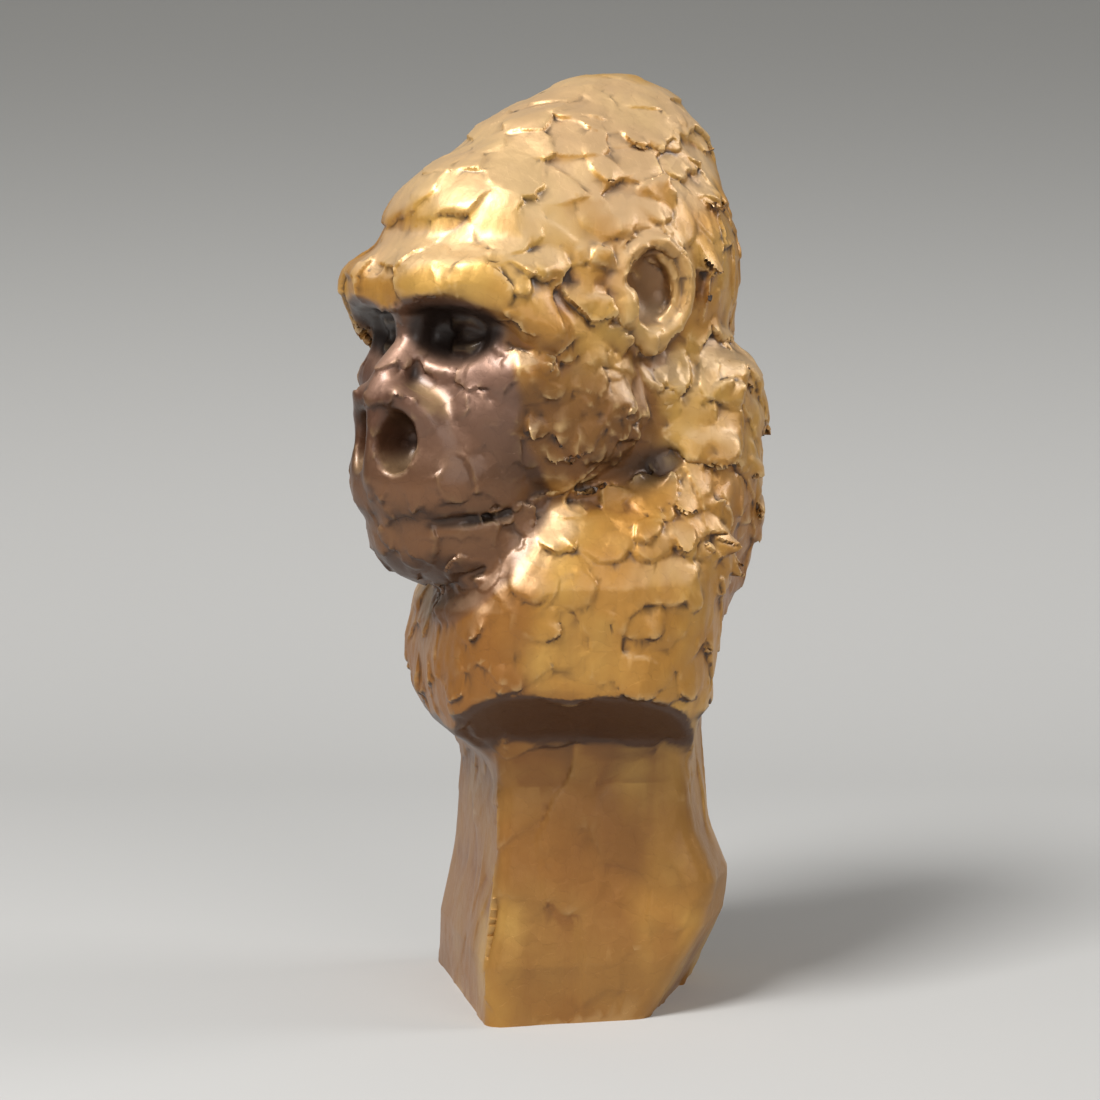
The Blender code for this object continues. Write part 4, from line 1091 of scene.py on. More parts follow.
@dataclass
class Covering:
    """The slabs and dabs laid one by one: rows over the hair, nape and shoulders, and large folds."""

    head: Head
    torso: Torso
    length: float = 25 * MM
    width: float = 19 * MM
    rise: float = 1.9 * MM
    raised_on_head: float = 1.45
    raised_on_torso: float = 1.25

    def rows(self, part: Part, turns: tuple[float, float], heights: tuple[float, float], gap: float,
             scale: float, lean: float, wobble: Random) -> list[Slab]:
        """A stretch of the surface covered with dabs, in rows that a hand would not keep straight.

        Args:
            part: The part whose directions to use.
            turns: First and last compass angle in degrees.
            heights: Lowest and highest row.
            gap: Distance between rows and between dabs.
            scale: Size of the dabs, 1 for the usual.
            lean: The way their fronts point in degrees, 90 for up.
            wobble: Moves, turns and sizes each dab a little.

        Returns:
            The dabs.
        """
        low, high = heights
        first, last = turns
        rows = max(2, round((high - low) / gap) + 1)
        around = math.radians(last - first) * self.head.skull_half_width
        columns = max(2, round(around / gap) + 1)
        stray = 0.3 * gap
        dabs = []
        for row, height in enumerate(np.linspace(low, high, rows)):
            for column in range(columns):
                share = (column + 0.5 * (row % 2)) / columns
                aside = math.degrees(wobble.uniform(-stray, stray) / self.head.skull_half_width)
                size = scale * wobble.uniform(0.75, 1.25)
                dabs.append(Slab(part, first + (last - first) * share + aside,
                                 height + wobble.uniform(-stray, stray), lean + wobble.uniform(-50, 50),
                                 size * self.length, size * self.width, self.rise * wobble.uniform(0.7, 1.2)))
        return dabs

    def dabs(self, wobble: Random) -> list[Slab]:
        """The dabs that cover the hair, the nape, the shoulders and the cheeks."""
        over_ear = self.head.ear_level + self.head.ear_height / 2
        shoulder, drop = self.torso.shoulder_top, self.head.nose_drop
        crown = (over_ear + 9 * MM, self.head.crest_top - 16 * MM)
        behind_ear = (-8 * MM, over_ear)
        nape = (shoulder - 40 * MM, shoulder + 32 * MM)
        low = (self.torso.widest - 4 * MM, shoulder - 28 * MM)
        cheek = (-2 * MM - drop, 34 * MM - drop)
        stretches = [
            (Part.HEAD, (-25, 205), crown, 18 * MM, 1.0, -90),
            (Part.HEAD, (35, 145), behind_ear, 18 * MM, 1.0, -90),
            (Part.TORSO, (15, 165), nape, 18 * MM, 1.1, -90),
            (Part.TORSO, (-100, 60), low, 17 * MM, 0.9, -80),
            (Part.TORSO, (120, 240), low, 17 * MM, 0.9, -100),
            (Part.HEAD, (-46, -8), cheek, 14 * MM, 0.7, -70),
            (Part.HEAD, (188, 226), cheek, 14 * MM, 0.7, -110),
        ]
        return [dab for stretch in stretches for dab in self.rows(*stretch, wobble)]

    def slabs(self) -> list[Slab]:
        """The large slabs and folds. Those on the head are laid on both its sides."""
        on_head = [
            (8, -8, -70, 26, 15, 3.4), (28, 32, -85, 22, 19, 3.4), (27, 15, 175, 9, 22, 3.2),
            (1, 44, 60, 20, 15, 3.2), (-29, 22, 95, 15, 9, 2.8), (-34, 6, 30, 18, 13, 2.6),
            (-26, -4, 40, 20, 13, 2.8), (-26, -18, -70, 20, 16, 2.6), (-38, -28, -85, 24, 19, 3.2),
            (-21, -26, -80, 20, 16, 3.0), (-49, -27, -110, 14, 11, 2.8), (-45, -36, -90, 13, 10, 3.0),
            (-51, -9, 20, 11, 8, 2.4), (31, 62, -30, 24, 12, 2.4), (38, 52, -60, 24, 15, 2.8),
            (-55, 18, -40, 16, 10, 2.2),
        ]
        on_torso = [
            (37, 10, -75, 30, 26, 4.2), (46, 16, 40, 24, 12, 3.4), (29, -4, -80, 20, 11, 1.6),
            (52, 24, 20, 22, 16, 3.2), (54, 0, -20, 22, 14, 2.8), (-31, -22, 65, 18, 15, 3.4),
            (-21, -17, 85, 16, 20, 3.8), (-4, -15, 100, 16, 22, 3.6), (5, -18, -60, 26, 15, 3.2),
            (15, -12, 70, 18, 18, 3.4), (20, -22, -95, 22, 9, 3.4), (31, -27, -20, 20, 15, 5.0),
            (36, -22, 30, 16, 12, 4.6), (43, -32, -60, 18, 12, 5.0), (-20, -22, -60, 22, 14, 2.4),
            (-40, -38, 130, 22, 14, 2.6), (-49, -50, 150, 20, 14, 2.2), (150, 12, -105, 28, 24, 3.8),
            (168, -6, -110, 24, 18, 3.2), (195, -14, 80, 18, 20, 3.4), (222, -18, 100, 18, 18, 3.2),
            (90, 20, -90, 30, 26, 3.6), (110, -8, -80, 26, 20, 3.2), (75, -14, -100, 26, 20, 3.2),
        ]
        slabs = []
        for turn, height, lean, length, width, rise in on_head:
            sizes = (length * MM, width * MM, self.raised_on_head * rise * MM)
            slabs.append(Slab(Part.HEAD, turn, height * MM, lean, *sizes))
            slabs.append(Slab(Part.HEAD, 180 - turn, height * MM, 180 - lean, *sizes))
        for turn, height, lean, length, width, rise in on_torso:
            at = self.torso.shoulder_top + height * MM
            sizes = (length * MM, width * MM, self.raised_on_torso * rise * MM)
            slabs.append(Slab(Part.TORSO, turn, at, lean, *sizes))
        return slabs


@dataclass
class Facets:
    """Flat facets over a stretch of the skin, as thumb and knife leave them, each with a raised front.

    Attributes:
        name: The stretch of the bust. It is not used.
        spacing: Usual distance between the facets' middles.
        tilt: How far a facet leans out of the surface, as a slope.
        step: Most that a facet lies above or below the surface.
        lip: Height of its raised front.
        flatten: Share of the form's own curve that it takes away.
        soft: Width over which two facets run into each other.
        stretch: How much longer than wide it is.
        torn: How far its outline strays.
        wander: Most that it turns away from the comb, in radians.
        seed: Picks the facets.
    """

    name: str
    spacing: float
    tilt: float
    step: float
    lip: float
    flatten: float
    soft: float
    stretch: float
    torn: float
    wander: float
    seed: int

    def seeds(self, corners: Array, cover: Array, random: Random) -> Array:
        """Corners for the facets' middles, no two of them closer than the spacing allows."""
        most_tries = 6000
        tries = random.permutation(np.flatnonzero(cover > 0.05))[:most_tries]
        finder: dict[tuple[int, int, int], list[int]] = {}
        kept = []
        for index in tries:
            spot = corners[index]
            box = tuple(int(value) for value in np.floor(spot / self.spacing))
            rivals = [other for x in (-1, 0, 1) for y in (-1, 0, 1) for z in (-1, 0, 1)
                      for other in finder.get((box[0] + x, box[1] + y, box[2] + z), ())]
            apart = self.spacing * random.uniform(0.55, 1.0)
            if all(np.linalg.norm(corners[other] - spot) > apart for other in rivals):
                finder.setdefault(box, []).append(index)
                kept.append(index)
        return np.array(kept)

    def press(self, corners: Array, normals: Array, cover: Array, comb: Array) -> None:
        """Move the corners onto their facets.

        Args:
            corners: Positions, which are changed.
            normals: The surface's direction at each corner.
            cover: How much of the facets shows at each, 0 to 1.
            comb: The way the facets' fronts point, roughly.
        """
        random = np.random.default_rng(self.seed)
        middles = self.seeds(corners, cover, random)
        if len(middles) < 2:
            return
        count = len(middles)
        upright = normals[middles]
        ahead = comb[middles] - upright * (comb[middles] * upright).sum(1)[:, None]
        ahead /= np.maximum(np.linalg.norm(ahead, axis=1, keepdims=True), 1e-9)
        turn = random.uniform(-self.wander, self.wander, count)[:, None]
        ahead = ahead * np.cos(turn) + np.cross(upright, ahead) * np.sin(turn)
        lean = random.uniform(0.1, 1.5, count)[:, None] * self.tilt
        aside = random.uniform(-0.4, 0.4, count)[:, None] * self.tilt
        facing = upright - ahead * lean - np.cross(upright, ahead) * aside
        facing /= np.linalg.norm(facing, axis=1, keepdims=True)
        level = random.uniform(-self.step, self.step, count)
        weight = random.uniform(0, 0.35 * self.spacing, count)
        spots = corners[middles]
        fading = 0.55 + 0.45 * smooth_step(-0.2, 0.15, self.stray(corners)[:, 0] / self.torn)
        covered = np.flatnonzero(cover > 0.02)
        covered = covered[np.argsort(corners[covered, 2])]
        level_bands, around = 80, 2.2 * self.spacing
        for part in np.array_split(covered, level_bands):
            low, high = corners[part[0], 2], corners[part[-1], 2]
            above, below = spots[:, 2] > low - around, spots[:, 2] < high + around
            close = np.flatnonzero(above & below)
            if len(close) < 2:
                continue
            moves = self.heights(corners[part], normals[part], spots[close], upright[close], ahead[close],
                                 facing[close], level[close], weight[close])
            shown = cover[part] * fading[part]
            corners[part] += normals[part] * (moves * shown)[:, None]

    def heights(self, here: Array, normals: Array, spots: Array, upright: Array,
                ahead: Array, facing: Array, level: Array, weight: Array) -> Array:
        """How far each corner moves along its normal.

        Args:
            here: The corners.
            normals: The surface's direction at each.
            spots: The middles of the facets that lie near.
            upright: The surface's direction at each middle.
            ahead: The way each facet's front points.
            facing: The direction each facet faces once it is pressed.
            level: How high each facet lies.
            weight: Holds each facet's outline back by a distance.

        Returns:
            The distances.
        """
        away = (here + self.stray(here))[:, None] - spots
        long = (away * ahead).sum(2)
        square = (away**2).sum(2) + (1 / self.stretch**2 - 1) * long**2 + 3 * (away * upright).sum(2) ** 2
        reach = np.sqrt(np.maximum(square, 0)) + weight
        reach += self.spacing * (normals @ upright.T < 0.3)
        order = np.argpartition(reach, 1, axis=1)[:, :2]
        rows = np.arange(len(here))
        swapped = reach[rows, order[:, 0]] > reach[rows, order[:, 1]]
        order[swapped] = order[swapped][:, ::-1]
        between = reach[rows, order[:, 1]] - reach[rows, order[:, 0]]
        most, lip_at, lip_width = 1.0 * MM, 0.7 * MM, 0.9 * MM
        heights = []
        for choice in order.T:
            flat = ((spots[choice] - here) * facing[choice]).sum(1)
            flat /= np.maximum((normals * facing[choice]).sum(1), 0.3)
            bulge = ((spots[choice] - here) * upright[choice]).sum(1)
            bulge /= np.maximum((normals * upright[choice]).sum(1), 0.3)
            rise = flat - bulge * (1 - self.flatten)
            heights.append(np.clip(rise, -most, most) + level[choice])
        edge = 0.5 * np.exp(-between / self.soft)
        height = heights[0] * (1 - edge) + heights[1] * edge
        proud = smooth_step(0.15 * MM, 0.9 * MM, heights[0] - heights[1])
        return height + self.lip * proud * np.exp(-(((between - lip_at) / lip_width) ** 2))

    def stray(self, points: Array) -> Array:
        """How far a facet's outline strays at each point, so that it looks torn."""
        return drift(points, self.spacing, self.seed + 1) * self.torn


@dataclass(frozen=True)
class Patina:
    """The finish of the cast: golden ochre, violet brown in the face, painted shade in the hollows and under
    overhangs, and painted highlights on raised edges and upward faces.
    """

    ochre: Colour = (0.48, 0.225, 0.036, 1)
    honey: Colour = (0.61, 0.345, 0.075, 1)
    # Orange brown for streaks and clouds, also used as shade painted into the hollows.
    rust_and_hollow_shade: Colour = (0.26, 0.09, 0.013, 1)
    # Pale pink of the painted highlight on upward faces.
    painted_highlight_rose: Colour = (0.82, 0.61, 0.38, 1)
    # Lighter face tone, also the painted highlight on the face where it faces up.
    mauve: Colour = (0.37, 0.215, 0.145, 1)
    # Gold of the painted highlight on the nose, also standing for rubbing on its edges.
    nose_rub_and_highlight: Colour = (0.60, 0.40, 0.19, 1)
    # Dark brown for stains and the darker lower face, also shade painted under the shoulders and on downward
    # faces.
    umber_stain_and_shade: Colour = (0.075, 0.028, 0.008, 1)
    violet: Colour = (0.12, 0.048, 0.026, 1)
    # Near black shade painted into the hollows, sockets, mouth line and neck crease.
    painted_shade_black: Colour = (0.02, 0.01, 0.006, 1)
    # Bright gold of raised edges: wear and a painted highlight.
    edge_wear_and_highlight: Colour = (0.80, 0.54, 0.24, 1)
    metallic: float = 0.48
    coat: float = 0.4
    coat_roughness: float = 0.26
    smoothest: float = 0.38
    roughest: float = 0.6
    chip_size: float = 6 * MM
    chip_depth: float = 0.6 * MM
    streak_depth: float = 0.35 * MM
    grain_depth: float = 0.25 * MM

    def material(self) -> bpy.types.Material:
        """The node material of the whole cast, mixed by the surface's own attributes."""
        material = bpy.data.materials.new("patinated_bronze")
        material.use_nodes = True
        tree = material.node_tree
        nodes, links = tree.nodes, tree.links
        surface = nodes["Principled BSDF"]
        place = nodes.new("ShaderNodeTexCoord").outputs["Object"]
        cloud = self.noise(tree, place, scale=26, detail=4)
        fine = self.noise(tree, place, scale=190, detail=6)
        base = self.mix(tree, self.ramp(tree, cloud, 0.38, 0.66), self.ochre, self.honey)
        streaks = self.noise(tree, self.drawn_out(tree, place), scale=120, detail=5)
        base = self.mix(tree, self.ramp(tree, streaks, 0.5, 1.1), base, self.rust_and_hollow_shade)
        # The bare face: violet, lighter mauve in random mottles and as a painted highlight where it faces up,
        # and gold as a painted highlight on the nose.
        skin = self.mix(tree, self.attribute(tree, "face_mottle_and_highlight"), self.violet, self.mauve)
        skin = self.mix(tree, self.attribute(tree, "nose_rub_and_highlight"), skin, self.nose_rub_and_highlight)
        # Washes over the base: orange brown clouds with shade painted into the hollows, a pale painted
        # highlight on upward faces, the bare face with its painted highlights, brown stains with shade
        # painted under the shoulders and on downward faces, near black shade painted into the hollows, and
        # bright raised edges that are wear and a painted highlight.
        washes = (("rust_and_hollow_shade", self.rust_and_hollow_shade), ("pale", self.painted_highlight_rose), ("face_tone", skin), ("brown", self.umber_stain_and_shade),
                  ("deep", self.painted_shade_black), ("hollow", self.painted_shade_black), ("edge", self.edge_wear_and_highlight))
        for tone, colour in washes:
            base = self.mix(tree, self.attribute(tree, tone), base, colour)
        links.new(base, surface.inputs["Base Color"])
        rough = nodes.new("ShaderNodeMapRange")
        rough.inputs["To Min"].default_value = self.smoothest
        rough.inputs["To Max"].default_value = self.roughest
        links.new(fine, rough.inputs["Value"])
        links.new(rough.outputs[0], surface.inputs["Roughness"])
        surface.inputs["Metallic"].default_value = self.metallic
        surface.inputs["Coat Weight"].default_value = self.coat
        surface.inputs["Coat Roughness"].default_value = self.coat_roughness
        worked = self.attribute(tree, "worked")
        chips = self.plates(tree, place, self.chip_size)
        normal = self.bump(tree, chips, self.chip_depth, worked, None)
        normal = self.bump(tree, streaks, self.streak_depth, None, normal)
        normal = self.bump(tree, fine, self.grain_depth, None, normal)
        links.new(normal, surface.inputs["Normal"])
        return material

    def drawn_out(self, tree: Tree, place: Socket) -> Socket:
        """Positions squeezed along a slant, so that a pattern on them runs in long strokes."""
        made = tree.nodes.new("ShaderNodeMapping")
        made.inputs["Rotation"].default_value = (0.35, 0.25, 0.2)
        made.inputs["Scale"].default_value = (1, 1, 0.12)
        tree.links.new(place, made.inputs["Vector"])
        return made.outputs[0]

    def plates(self, tree: Tree, place: Socket, size: float) -> Socket:
        """Height of small plates of clay, each tilted its own way, with uneven outlines.

        Args:
            tree: The material's tree.
            place: Positions on the object.
            size: Usual width of a plate in metres.

        Returns:
            The height, in plate widths.
        """
        stray = tree.nodes.new("ShaderNodeTexNoise")
        stray.inputs["Scale"].default_value = 0.8 / size
        stray.inputs["Detail"].default_value = 2
        tree.links.new(place, stray.inputs["Vector"])
        shift = self.vectors(tree, "MULTIPLY_ADD", stray.outputs["Color"], (size, size, size), place)
        cells = tree.nodes.new("ShaderNodeTexVoronoi")
        cells.inputs["Scale"].default_value = 1 / size
        tree.links.new(shift.outputs[0], cells.inputs["Vector"])
        tilt = self.vectors(tree, "SUBTRACT", cells.outputs["Color"], (0.5, 0.5, 0.5))
        scaled = self.vectors(tree, "SCALE", shift.outputs[0])
        scaled.inputs["Scale"].default_value = 1 / size
        away = self.vectors(tree, "SUBTRACT", scaled.outputs[0], cells.outputs["Position"])
        height = self.vectors(tree, "DOT_PRODUCT", away.outputs[0], tilt.outputs[0])
        return height.outputs["Value"]

    def vectors(self, tree: Tree, operation: str, *terms: object) -> bpy.types.Node:
        """A sum or product of vectors. Each term is a value or a socket."""
        made = tree.nodes.new("ShaderNodeVectorMath")
        made.operation = operation
        for socket, term in zip(made.inputs, terms):
            self.feed(tree, term, socket)
        return made

    def feed(self, tree: Tree, source: object, socket: Socket) -> None:
        """Give a socket its value, or link another socket to it."""
        if isinstance(source, Socket):
            tree.links.new(source, socket)
        else:
            socket.default_value = source

    def bump(self, tree: Tree, height: Socket, rise: float,
             share: Socket | None, normal: Socket | None) -> Socket:
        """A bumped normal.

        Args:
            tree: The material's tree.
            height: The bump's height field.
            rise: Metres for one unit of height.
            share: Where the bump shows, or None for everywhere.
            normal: The normal it is laid on, or None for the surface's own.

        Returns:
            The new normal.
        """
        made = tree.nodes.new("ShaderNodeBump")
        made.inputs["Distance"].default_value = rise
        tree.links.new(height, made.inputs["Height"])
        if share is not None:
            tree.links.new(share, made.inputs["Strength"])
        if normal is not None:
            tree.links.new(normal, made.inputs["Normal"])
        return made.outputs[0]

    def noise(self, tree: Tree, place: Socket, scale: float, detail: float) -> Socket:
        """Cloudy noise in the object's own space."""
        made = tree.nodes.new("ShaderNodeTexNoise")
        made.inputs["Scale"].default_value = scale
        made.inputs["Detail"].default_value = detail
        tree.links.new(place, made.inputs["Vector"])
        return made.outputs["Fac"]

    def ramp(self, tree: Tree, value: Socket, low: float, high: float) -> Socket:
        """A value stretched so that low becomes 0 and high becomes 1."""
        made = tree.nodes.new("ShaderNodeMapRange")
        made.interpolation_type = "SMOOTHSTEP"
        made.inputs["From Min"].default_value = low
        made.inputs["From Max"].default_value = high
        tree.links.new(value, made.inputs["Value"])
        return made.outputs[0]

    def attribute(self, tree: Tree, name: str) -> Socket:
        """A number that the modelling wrote on the surface."""
        made = tree.nodes.new("ShaderNodeAttribute")
        made.attribute_name = name
        return made.outputs["Fac"]

    def mix(self, tree: Tree, share: Socket, low: object, high: object) -> Socket:
        """Two colours mixed by a share. Each colour is a value or a socket."""
        made = tree.nodes.new("ShaderNodeMix")
        made.data_type = "RGBA"
        tree.links.new(share, made.inputs[0])
        self.feed(tree, low, made.inputs[6])
        self.feed(tree, high, made.inputs[7])
        return made.outputs[2]


@dataclass
class Zones:
    """Shares, 0 to 1, of each stretch of the bust at some points of its surface."""

    face: Array
    ear: Array
    forehead: Array
    brow: Array
    cheek: Array
    head: Array
    column: Array
    underside: Array
    socket: Array
    nose: Array
    lips: Array
    crease: Array
    comb: Array

    @property
    def body(self) -> Array:
        """Clay that carries dabs: all but the bare face, the ears, the column and the underside."""
        return (1 - self.column) * (1 - np.clip(self.face + self.ear + self.underside, 0, 1))

    @classmethod
    def at(cls, clay: Clay, head: Head, points: Array, normals: Array) -> Zones:
        """Work out the zones.

        Args:
            clay: The clay, for its directions.
            head: The head, for its sizes.
            points: Positions on the surface, one row each.
            normals: The surface's direction at each.

        Returns:
            The shares at each point.
        """
        seen = clay.local(points, Part.HEAD)
        aside, ahead, up = np.abs(seen[:, 0]), -seen[:, 1], seen[:, 2]
        is_head = smooth_step(-50 * MM, -44 * MM, up) * smooth_step(176 * MM, 184 * MM, points[:, 2])
        is_head *= smooth_step(-32 * MM, -20 * MM, ahead + 0.6 * (up + 14 * MM))
        forehead = smooth_step(-8 * MM, 6 * MM, ahead) * smooth_step(24 * MM, 32 * MM, up)
        brow = smooth_step(52 * MM, 60 * MM, ahead) * smooth_step(6 * MM, 10 * MM, up)
        brow *= smooth_step(34 * MM, 28 * MM, up)
        tall, long = head.ear_height / 2 + 3 * MM, head.ear_length / 2 + 3 * MM
        oval = np.hypot((ahead - head.ear_forward) / long, (up - head.ear_level) / tall)
        ear = smooth_step(1.1, 0.95, oval) * smooth_step(34 * MM, 38 * MM, aside)
        column = smooth_step(106 * MM, 100 * MM, points[:, 2])
        underside = smooth_step(-0.4, -0.6, normals[:, 2]) * smooth_step(140 * MM, 130 * MM, points[:, 2])
        face = cls.face_tone(clay, points)
        cheek = is_head * smooth_step(10 * MM, 2 * MM, up) * smooth_step(-6 * MM, 6 * MM, ahead)
        around = np.stack([-points[:, 1], points[:, 0], np.zeros(len(points))], 1)
        around /= np.maximum(np.linalg.norm(around, axis=1, keepdims=True), 1e-6)
        down = np.tile((0.0, 0.0, -1.0), (len(points), 1))
        comb = np.where((forehead > 0.5)[:, None], 0.8 * around * np.sign(points[:, :1]) + 0.5 * down, down)
        comb = np.where((column > 0.5)[:, None], down - 0.45 * around, comb)
        beside = clay.local(points, Part.HEAD, both_sides=True)
        hollow = Ball((head.eye_half_spacing, -head.eye_reach - 4 * MM, 2 * MM), (18 * MM, 16 * MM, 11 * MM))
        socket = smooth_step(2 * MM, -3 * MM, hollow.distance(beside))
        tip = Ball((0, 16 * MM - head.nose_reach, -2 * MM - head.nose_drop), (28 * MM, 22 * MM, 24 * MM))
        nose = smooth_step(0, -4 * MM, tip.distance(beside))
        line = Roll(head.mouth_line(), [1.6 * MM] * 4)
        lips = smooth_step(1.2 * MM, -0.4 * MM, line.distance(beside))
        gap = Roll(head.neck_crease(), [2 * MM, 5 * MM, 2 * MM])
        crease = smooth_step(6 * MM, 0, gap.distance(beside))
        return cls(face, ear, forehead, brow, cheek, is_head, column, underside, socket, nose, lips,
                   crease, comb)

    @staticmethod
    def face_tone(clay: Clay, points: Array) -> Array:
        """How much of the violet brown of the bare face lies at each point, 0 to 1."""
        seen = clay.local(points, Part.HEAD, both_sides=True)
        masses = [
            Ball((0, -66 * MM, -52 * MM), (44 * MM, 42 * MM, 44 * MM)),
            Ball((12 * MM, -68 * MM, -20 * MM), (31 * MM, 28 * MM, 30 * MM)),
            Ball((17 * MM, -72 * MM, 0), (24 * MM, 22 * MM, 13 * MM)),
        ]
        nearest = np.min([mass.distance(seen) for mass in masses], axis=0)
        return smooth_step(1.5 * MM, -2 * MM, nearest)


@dataclass
class Bust:
    """The whole cast: the modelled form, its dabs, its tool marks and its finish."""

    clay: Clay = field(default_factory=Clay)
    head: Head = field(default_factory=Head)
    torso: Torso = field(default_factory=Torso)
    coarse_voxel: float = 2.0 * MM
    form_voxel: float = 1.2 * MM
    skin_voxel: float = 0.75 * MM
    swell: float = 0.9 * MM
    sharp_from: float = math.radians(38)
    most_triangles: int = 194000

    def form(self) -> Mesh:
        """The smooth form, before any dab is pressed on."""
        self.torso.model(self.clay)
        self.head.model(self.clay)
        crease = Roll(self.head.neck_crease(), [4.5 * MM, 7 * MM, 4 * MM])
        self.clay.hollow(Part.HEAD, crease, 3 * MM, both_sides=True)
        skin = fused(self.clay.put_together(), self.coarse_voxel)
        self.melt(skin, passes=2, with_hollows=False)
        self.press_hollows(skin)
        rough = bmesh.new()
        rough.from_mesh(skin)
        skin = fused(rough, self.form_voxel)
        self.melt(skin, passes=2)
        return skin

    def melt(self, mesh: Mesh, passes: int, with_hollows: bool = True) -> None:
        """Draw a rough skin onto the smooth surface where the masses run into each other."""
        corners = corners_of(mesh)
        longest = 2.5 * MM
        for _ in range(passes):
            gap = self.clay.distance(corners, with_hollows)
            way = self.clay.outward(corners, gap, with_hollows)
            corners -= way * np.clip(gap, -longest, longest)[:, None]
        move_corners(mesh, corners)

    def press_hollows(self, mesh: Mesh) -> None:
        """Push the skin straight in, wherever a hollow or a knife cut lies over the clay."""
        corners = corners_of(mesh)
        step, deepest = 0.6 * MM, 26 * MM
        floating = np.flatnonzero(self.clay.distance(corners) > step / 2)
        skin = corners[floating]
        gap = self.clay.distance(skin, with_hollows=False)
        inward = -self.clay.outward(skin, gap, with_hollows=False)
        for _ in range(int(deepest / step)):
            corners[floating] += inward * step
            still_out = self.clay.distance(corners[floating]) > step / 2
            floating = floating[still_out]
            inward = inward[still_out]
        move_corners(mesh, corners)

    def zones(self, mesh: Mesh) -> Zones:
        """The zones at the mesh's corners."""
        return Zones.at(self.clay, self.head, corners_of(mesh), normals_of(mesh))

    def mark_cover(self, mesh: Mesh) -> None:
        """Write where each kind of dab goes, how large it is and which way it is combed."""
        zones = self.zones(mesh)
        rough = zones.body * (1 - 0.9 * zones.forehead) * (1 - zones.crease)
        cover = {
            "dabs": rough,
            "flakes": 0.4 * rough + 0.35 * zones.brow,
            "strokes": zones.column * smooth_step(90 * MM, 76 * MM, corners_of(mesh)[:, 2]),
        }
        for name, values in cover.items():
            set_attribute(mesh, f"cover_{name}", np.clip(values, 0, 1))
        set_attribute(mesh, "comb", zones.comb)
        set_attribute(mesh, "dab_size", 1 - 0.35 * zones.cheek - 0.3 * zones.face)

    def pressed(self, mesh: Mesh, finish: bpy.types.Material) -> Mesh:
        """The form with all its slabs and layers of dabs, as one closed skin."""
        layers = [
            DabLayer("dabs", 26 * MM, 22 * MM, 14 * MM, 0.8 * MM, 1.2, 17),
            DabLayer("flakes", 17 * MM, 8 * MM, 4.5 * MM, 0.6 * MM, 2.6, 29),
            DabLayer("strokes", 26 * MM, 40 * MM, 7 * MM, 0.16 * MM, 0.35, 41),
        ]
        form = bpy.data.objects.new("form", mesh.copy())
        dab = bpy.data.objects.new("thumb_dab", thumb_dab(3))
        press = DabPress(dab, form, finish)
        holder = stand(mesh)
        for layer in layers:
            press.press(holder, layer)
        covered = bmesh.new()
        covered.from_mesh(evaluated_copy(holder))
        smooth = bmesh.new()
        smooth.from_mesh(form.data)
        surface = BVHTree.FromBMesh(smooth)
        smooth.free()
        wobble = np.random.default_rng(7)
        covering = Covering(self.head, self.torso)
        for slab in covering.dabs(wobble) + covering.slabs():
            slab.lay(covered, surface, self.clay.frame(slab.part), wobble)
        skin = fused(covered, self.skin_voxel)
        for thing in (dab, form):
            bpy.data.objects.remove(thing)
        return skin

    def press_facets(self, mesh: Mesh) -> None:
        """Press flat facets all over the skin, from the broad ones to the small."""
        zones = self.zones(mesh)
        patches = drift(corners_of(mesh), 30 * MM, 61)
        patchy = smooth_step(-0.1, 0.35, patches[:, 0])
        calm_chest = 1 - 0.25 * smooth_step(172 * MM, 158 * MM, corners_of(mesh)[:, 2])
        rough = zones.body * (1 - zones.forehead) * (1 - zones.crease) * calm_chest
        rough *= 0.45 + 0.55 * smooth_step(-0.4, 0.1, patches[:, 1])
        kinds = [
            (Facets("forehead", 20 * MM, 0.14, 0.22 * MM, 0.25 * MM, 0.35, 1.0 * MM, 1.2, 4.5 * MM,
                    1.4, 51), zones.body * zones.forehead * (1 - zones.brow)),
            (Facets("plates", 22 * MM, 0.14, 0.28 * MM, 0.3 * MM, 0.3, 0.6 * MM, 1.3, 5 * MM, 0.9, 53),
             rough),
            (Facets("small_plates", 12 * MM, 0.06, 0.03 * MM, 0.06 * MM, 0.3, 0.9 * MM, 1.3, 4 * MM, 1.2, 55),
             0.8 * rough * patchy + 0.5 * zones.brow + 0.2 * zones.underside),
            (Facets("ear", 7 * MM, 0.12, 0.12 * MM, 0.15 * MM, 0, 0.5 * MM, 1.6, 2 * MM, 1.0, 56),
             0.7 * zones.ear),
            (Facets("column", 28 * MM, 0.035, 0.12 * MM, 0.12 * MM, 0, 1.4 * MM, 2.2, 7 * MM, 0.4, 52),
             zones.column),
            (Facets("face", 11 * MM, 0.11, 0.12 * MM, 0.2 * MM, 0.1, 0.6 * MM, 1.5, 3 * MM, 1.6, 54),
             zones.face * (1 - 0.75 * zones.nose) * (1 - zones.socket) * (1 - zones.lips)),
        ]
        corners = corners_of(mesh)
        swells = drift(corners, 16 * MM, 63)[:, 0]
        corners += normals_of(mesh) * (self.swell * swells * zones.body)[:, None]
        move_corners(mesh, corners)
        for facets, cover in kinds:
            facets.press(corners, normals_of(mesh), np.clip(cover, 0, 1), zones.comb)
            move_corners(mesh, corners)

    def thinned(self, mesh: Mesh) -> Mesh:
        """The same skin with fewer triangles, kept closest where the form turns most."""
        mesh.calc_loop_triangles()
        holder = stand(mesh)
        decimate = holder.modifiers.new("fewer_triangles", "DECIMATE")
        decimate.ratio = self.most_triangles / len(mesh.loop_triangles)
        decimate.use_collapse_triangulate = True
        return evaluated_copy(holder)

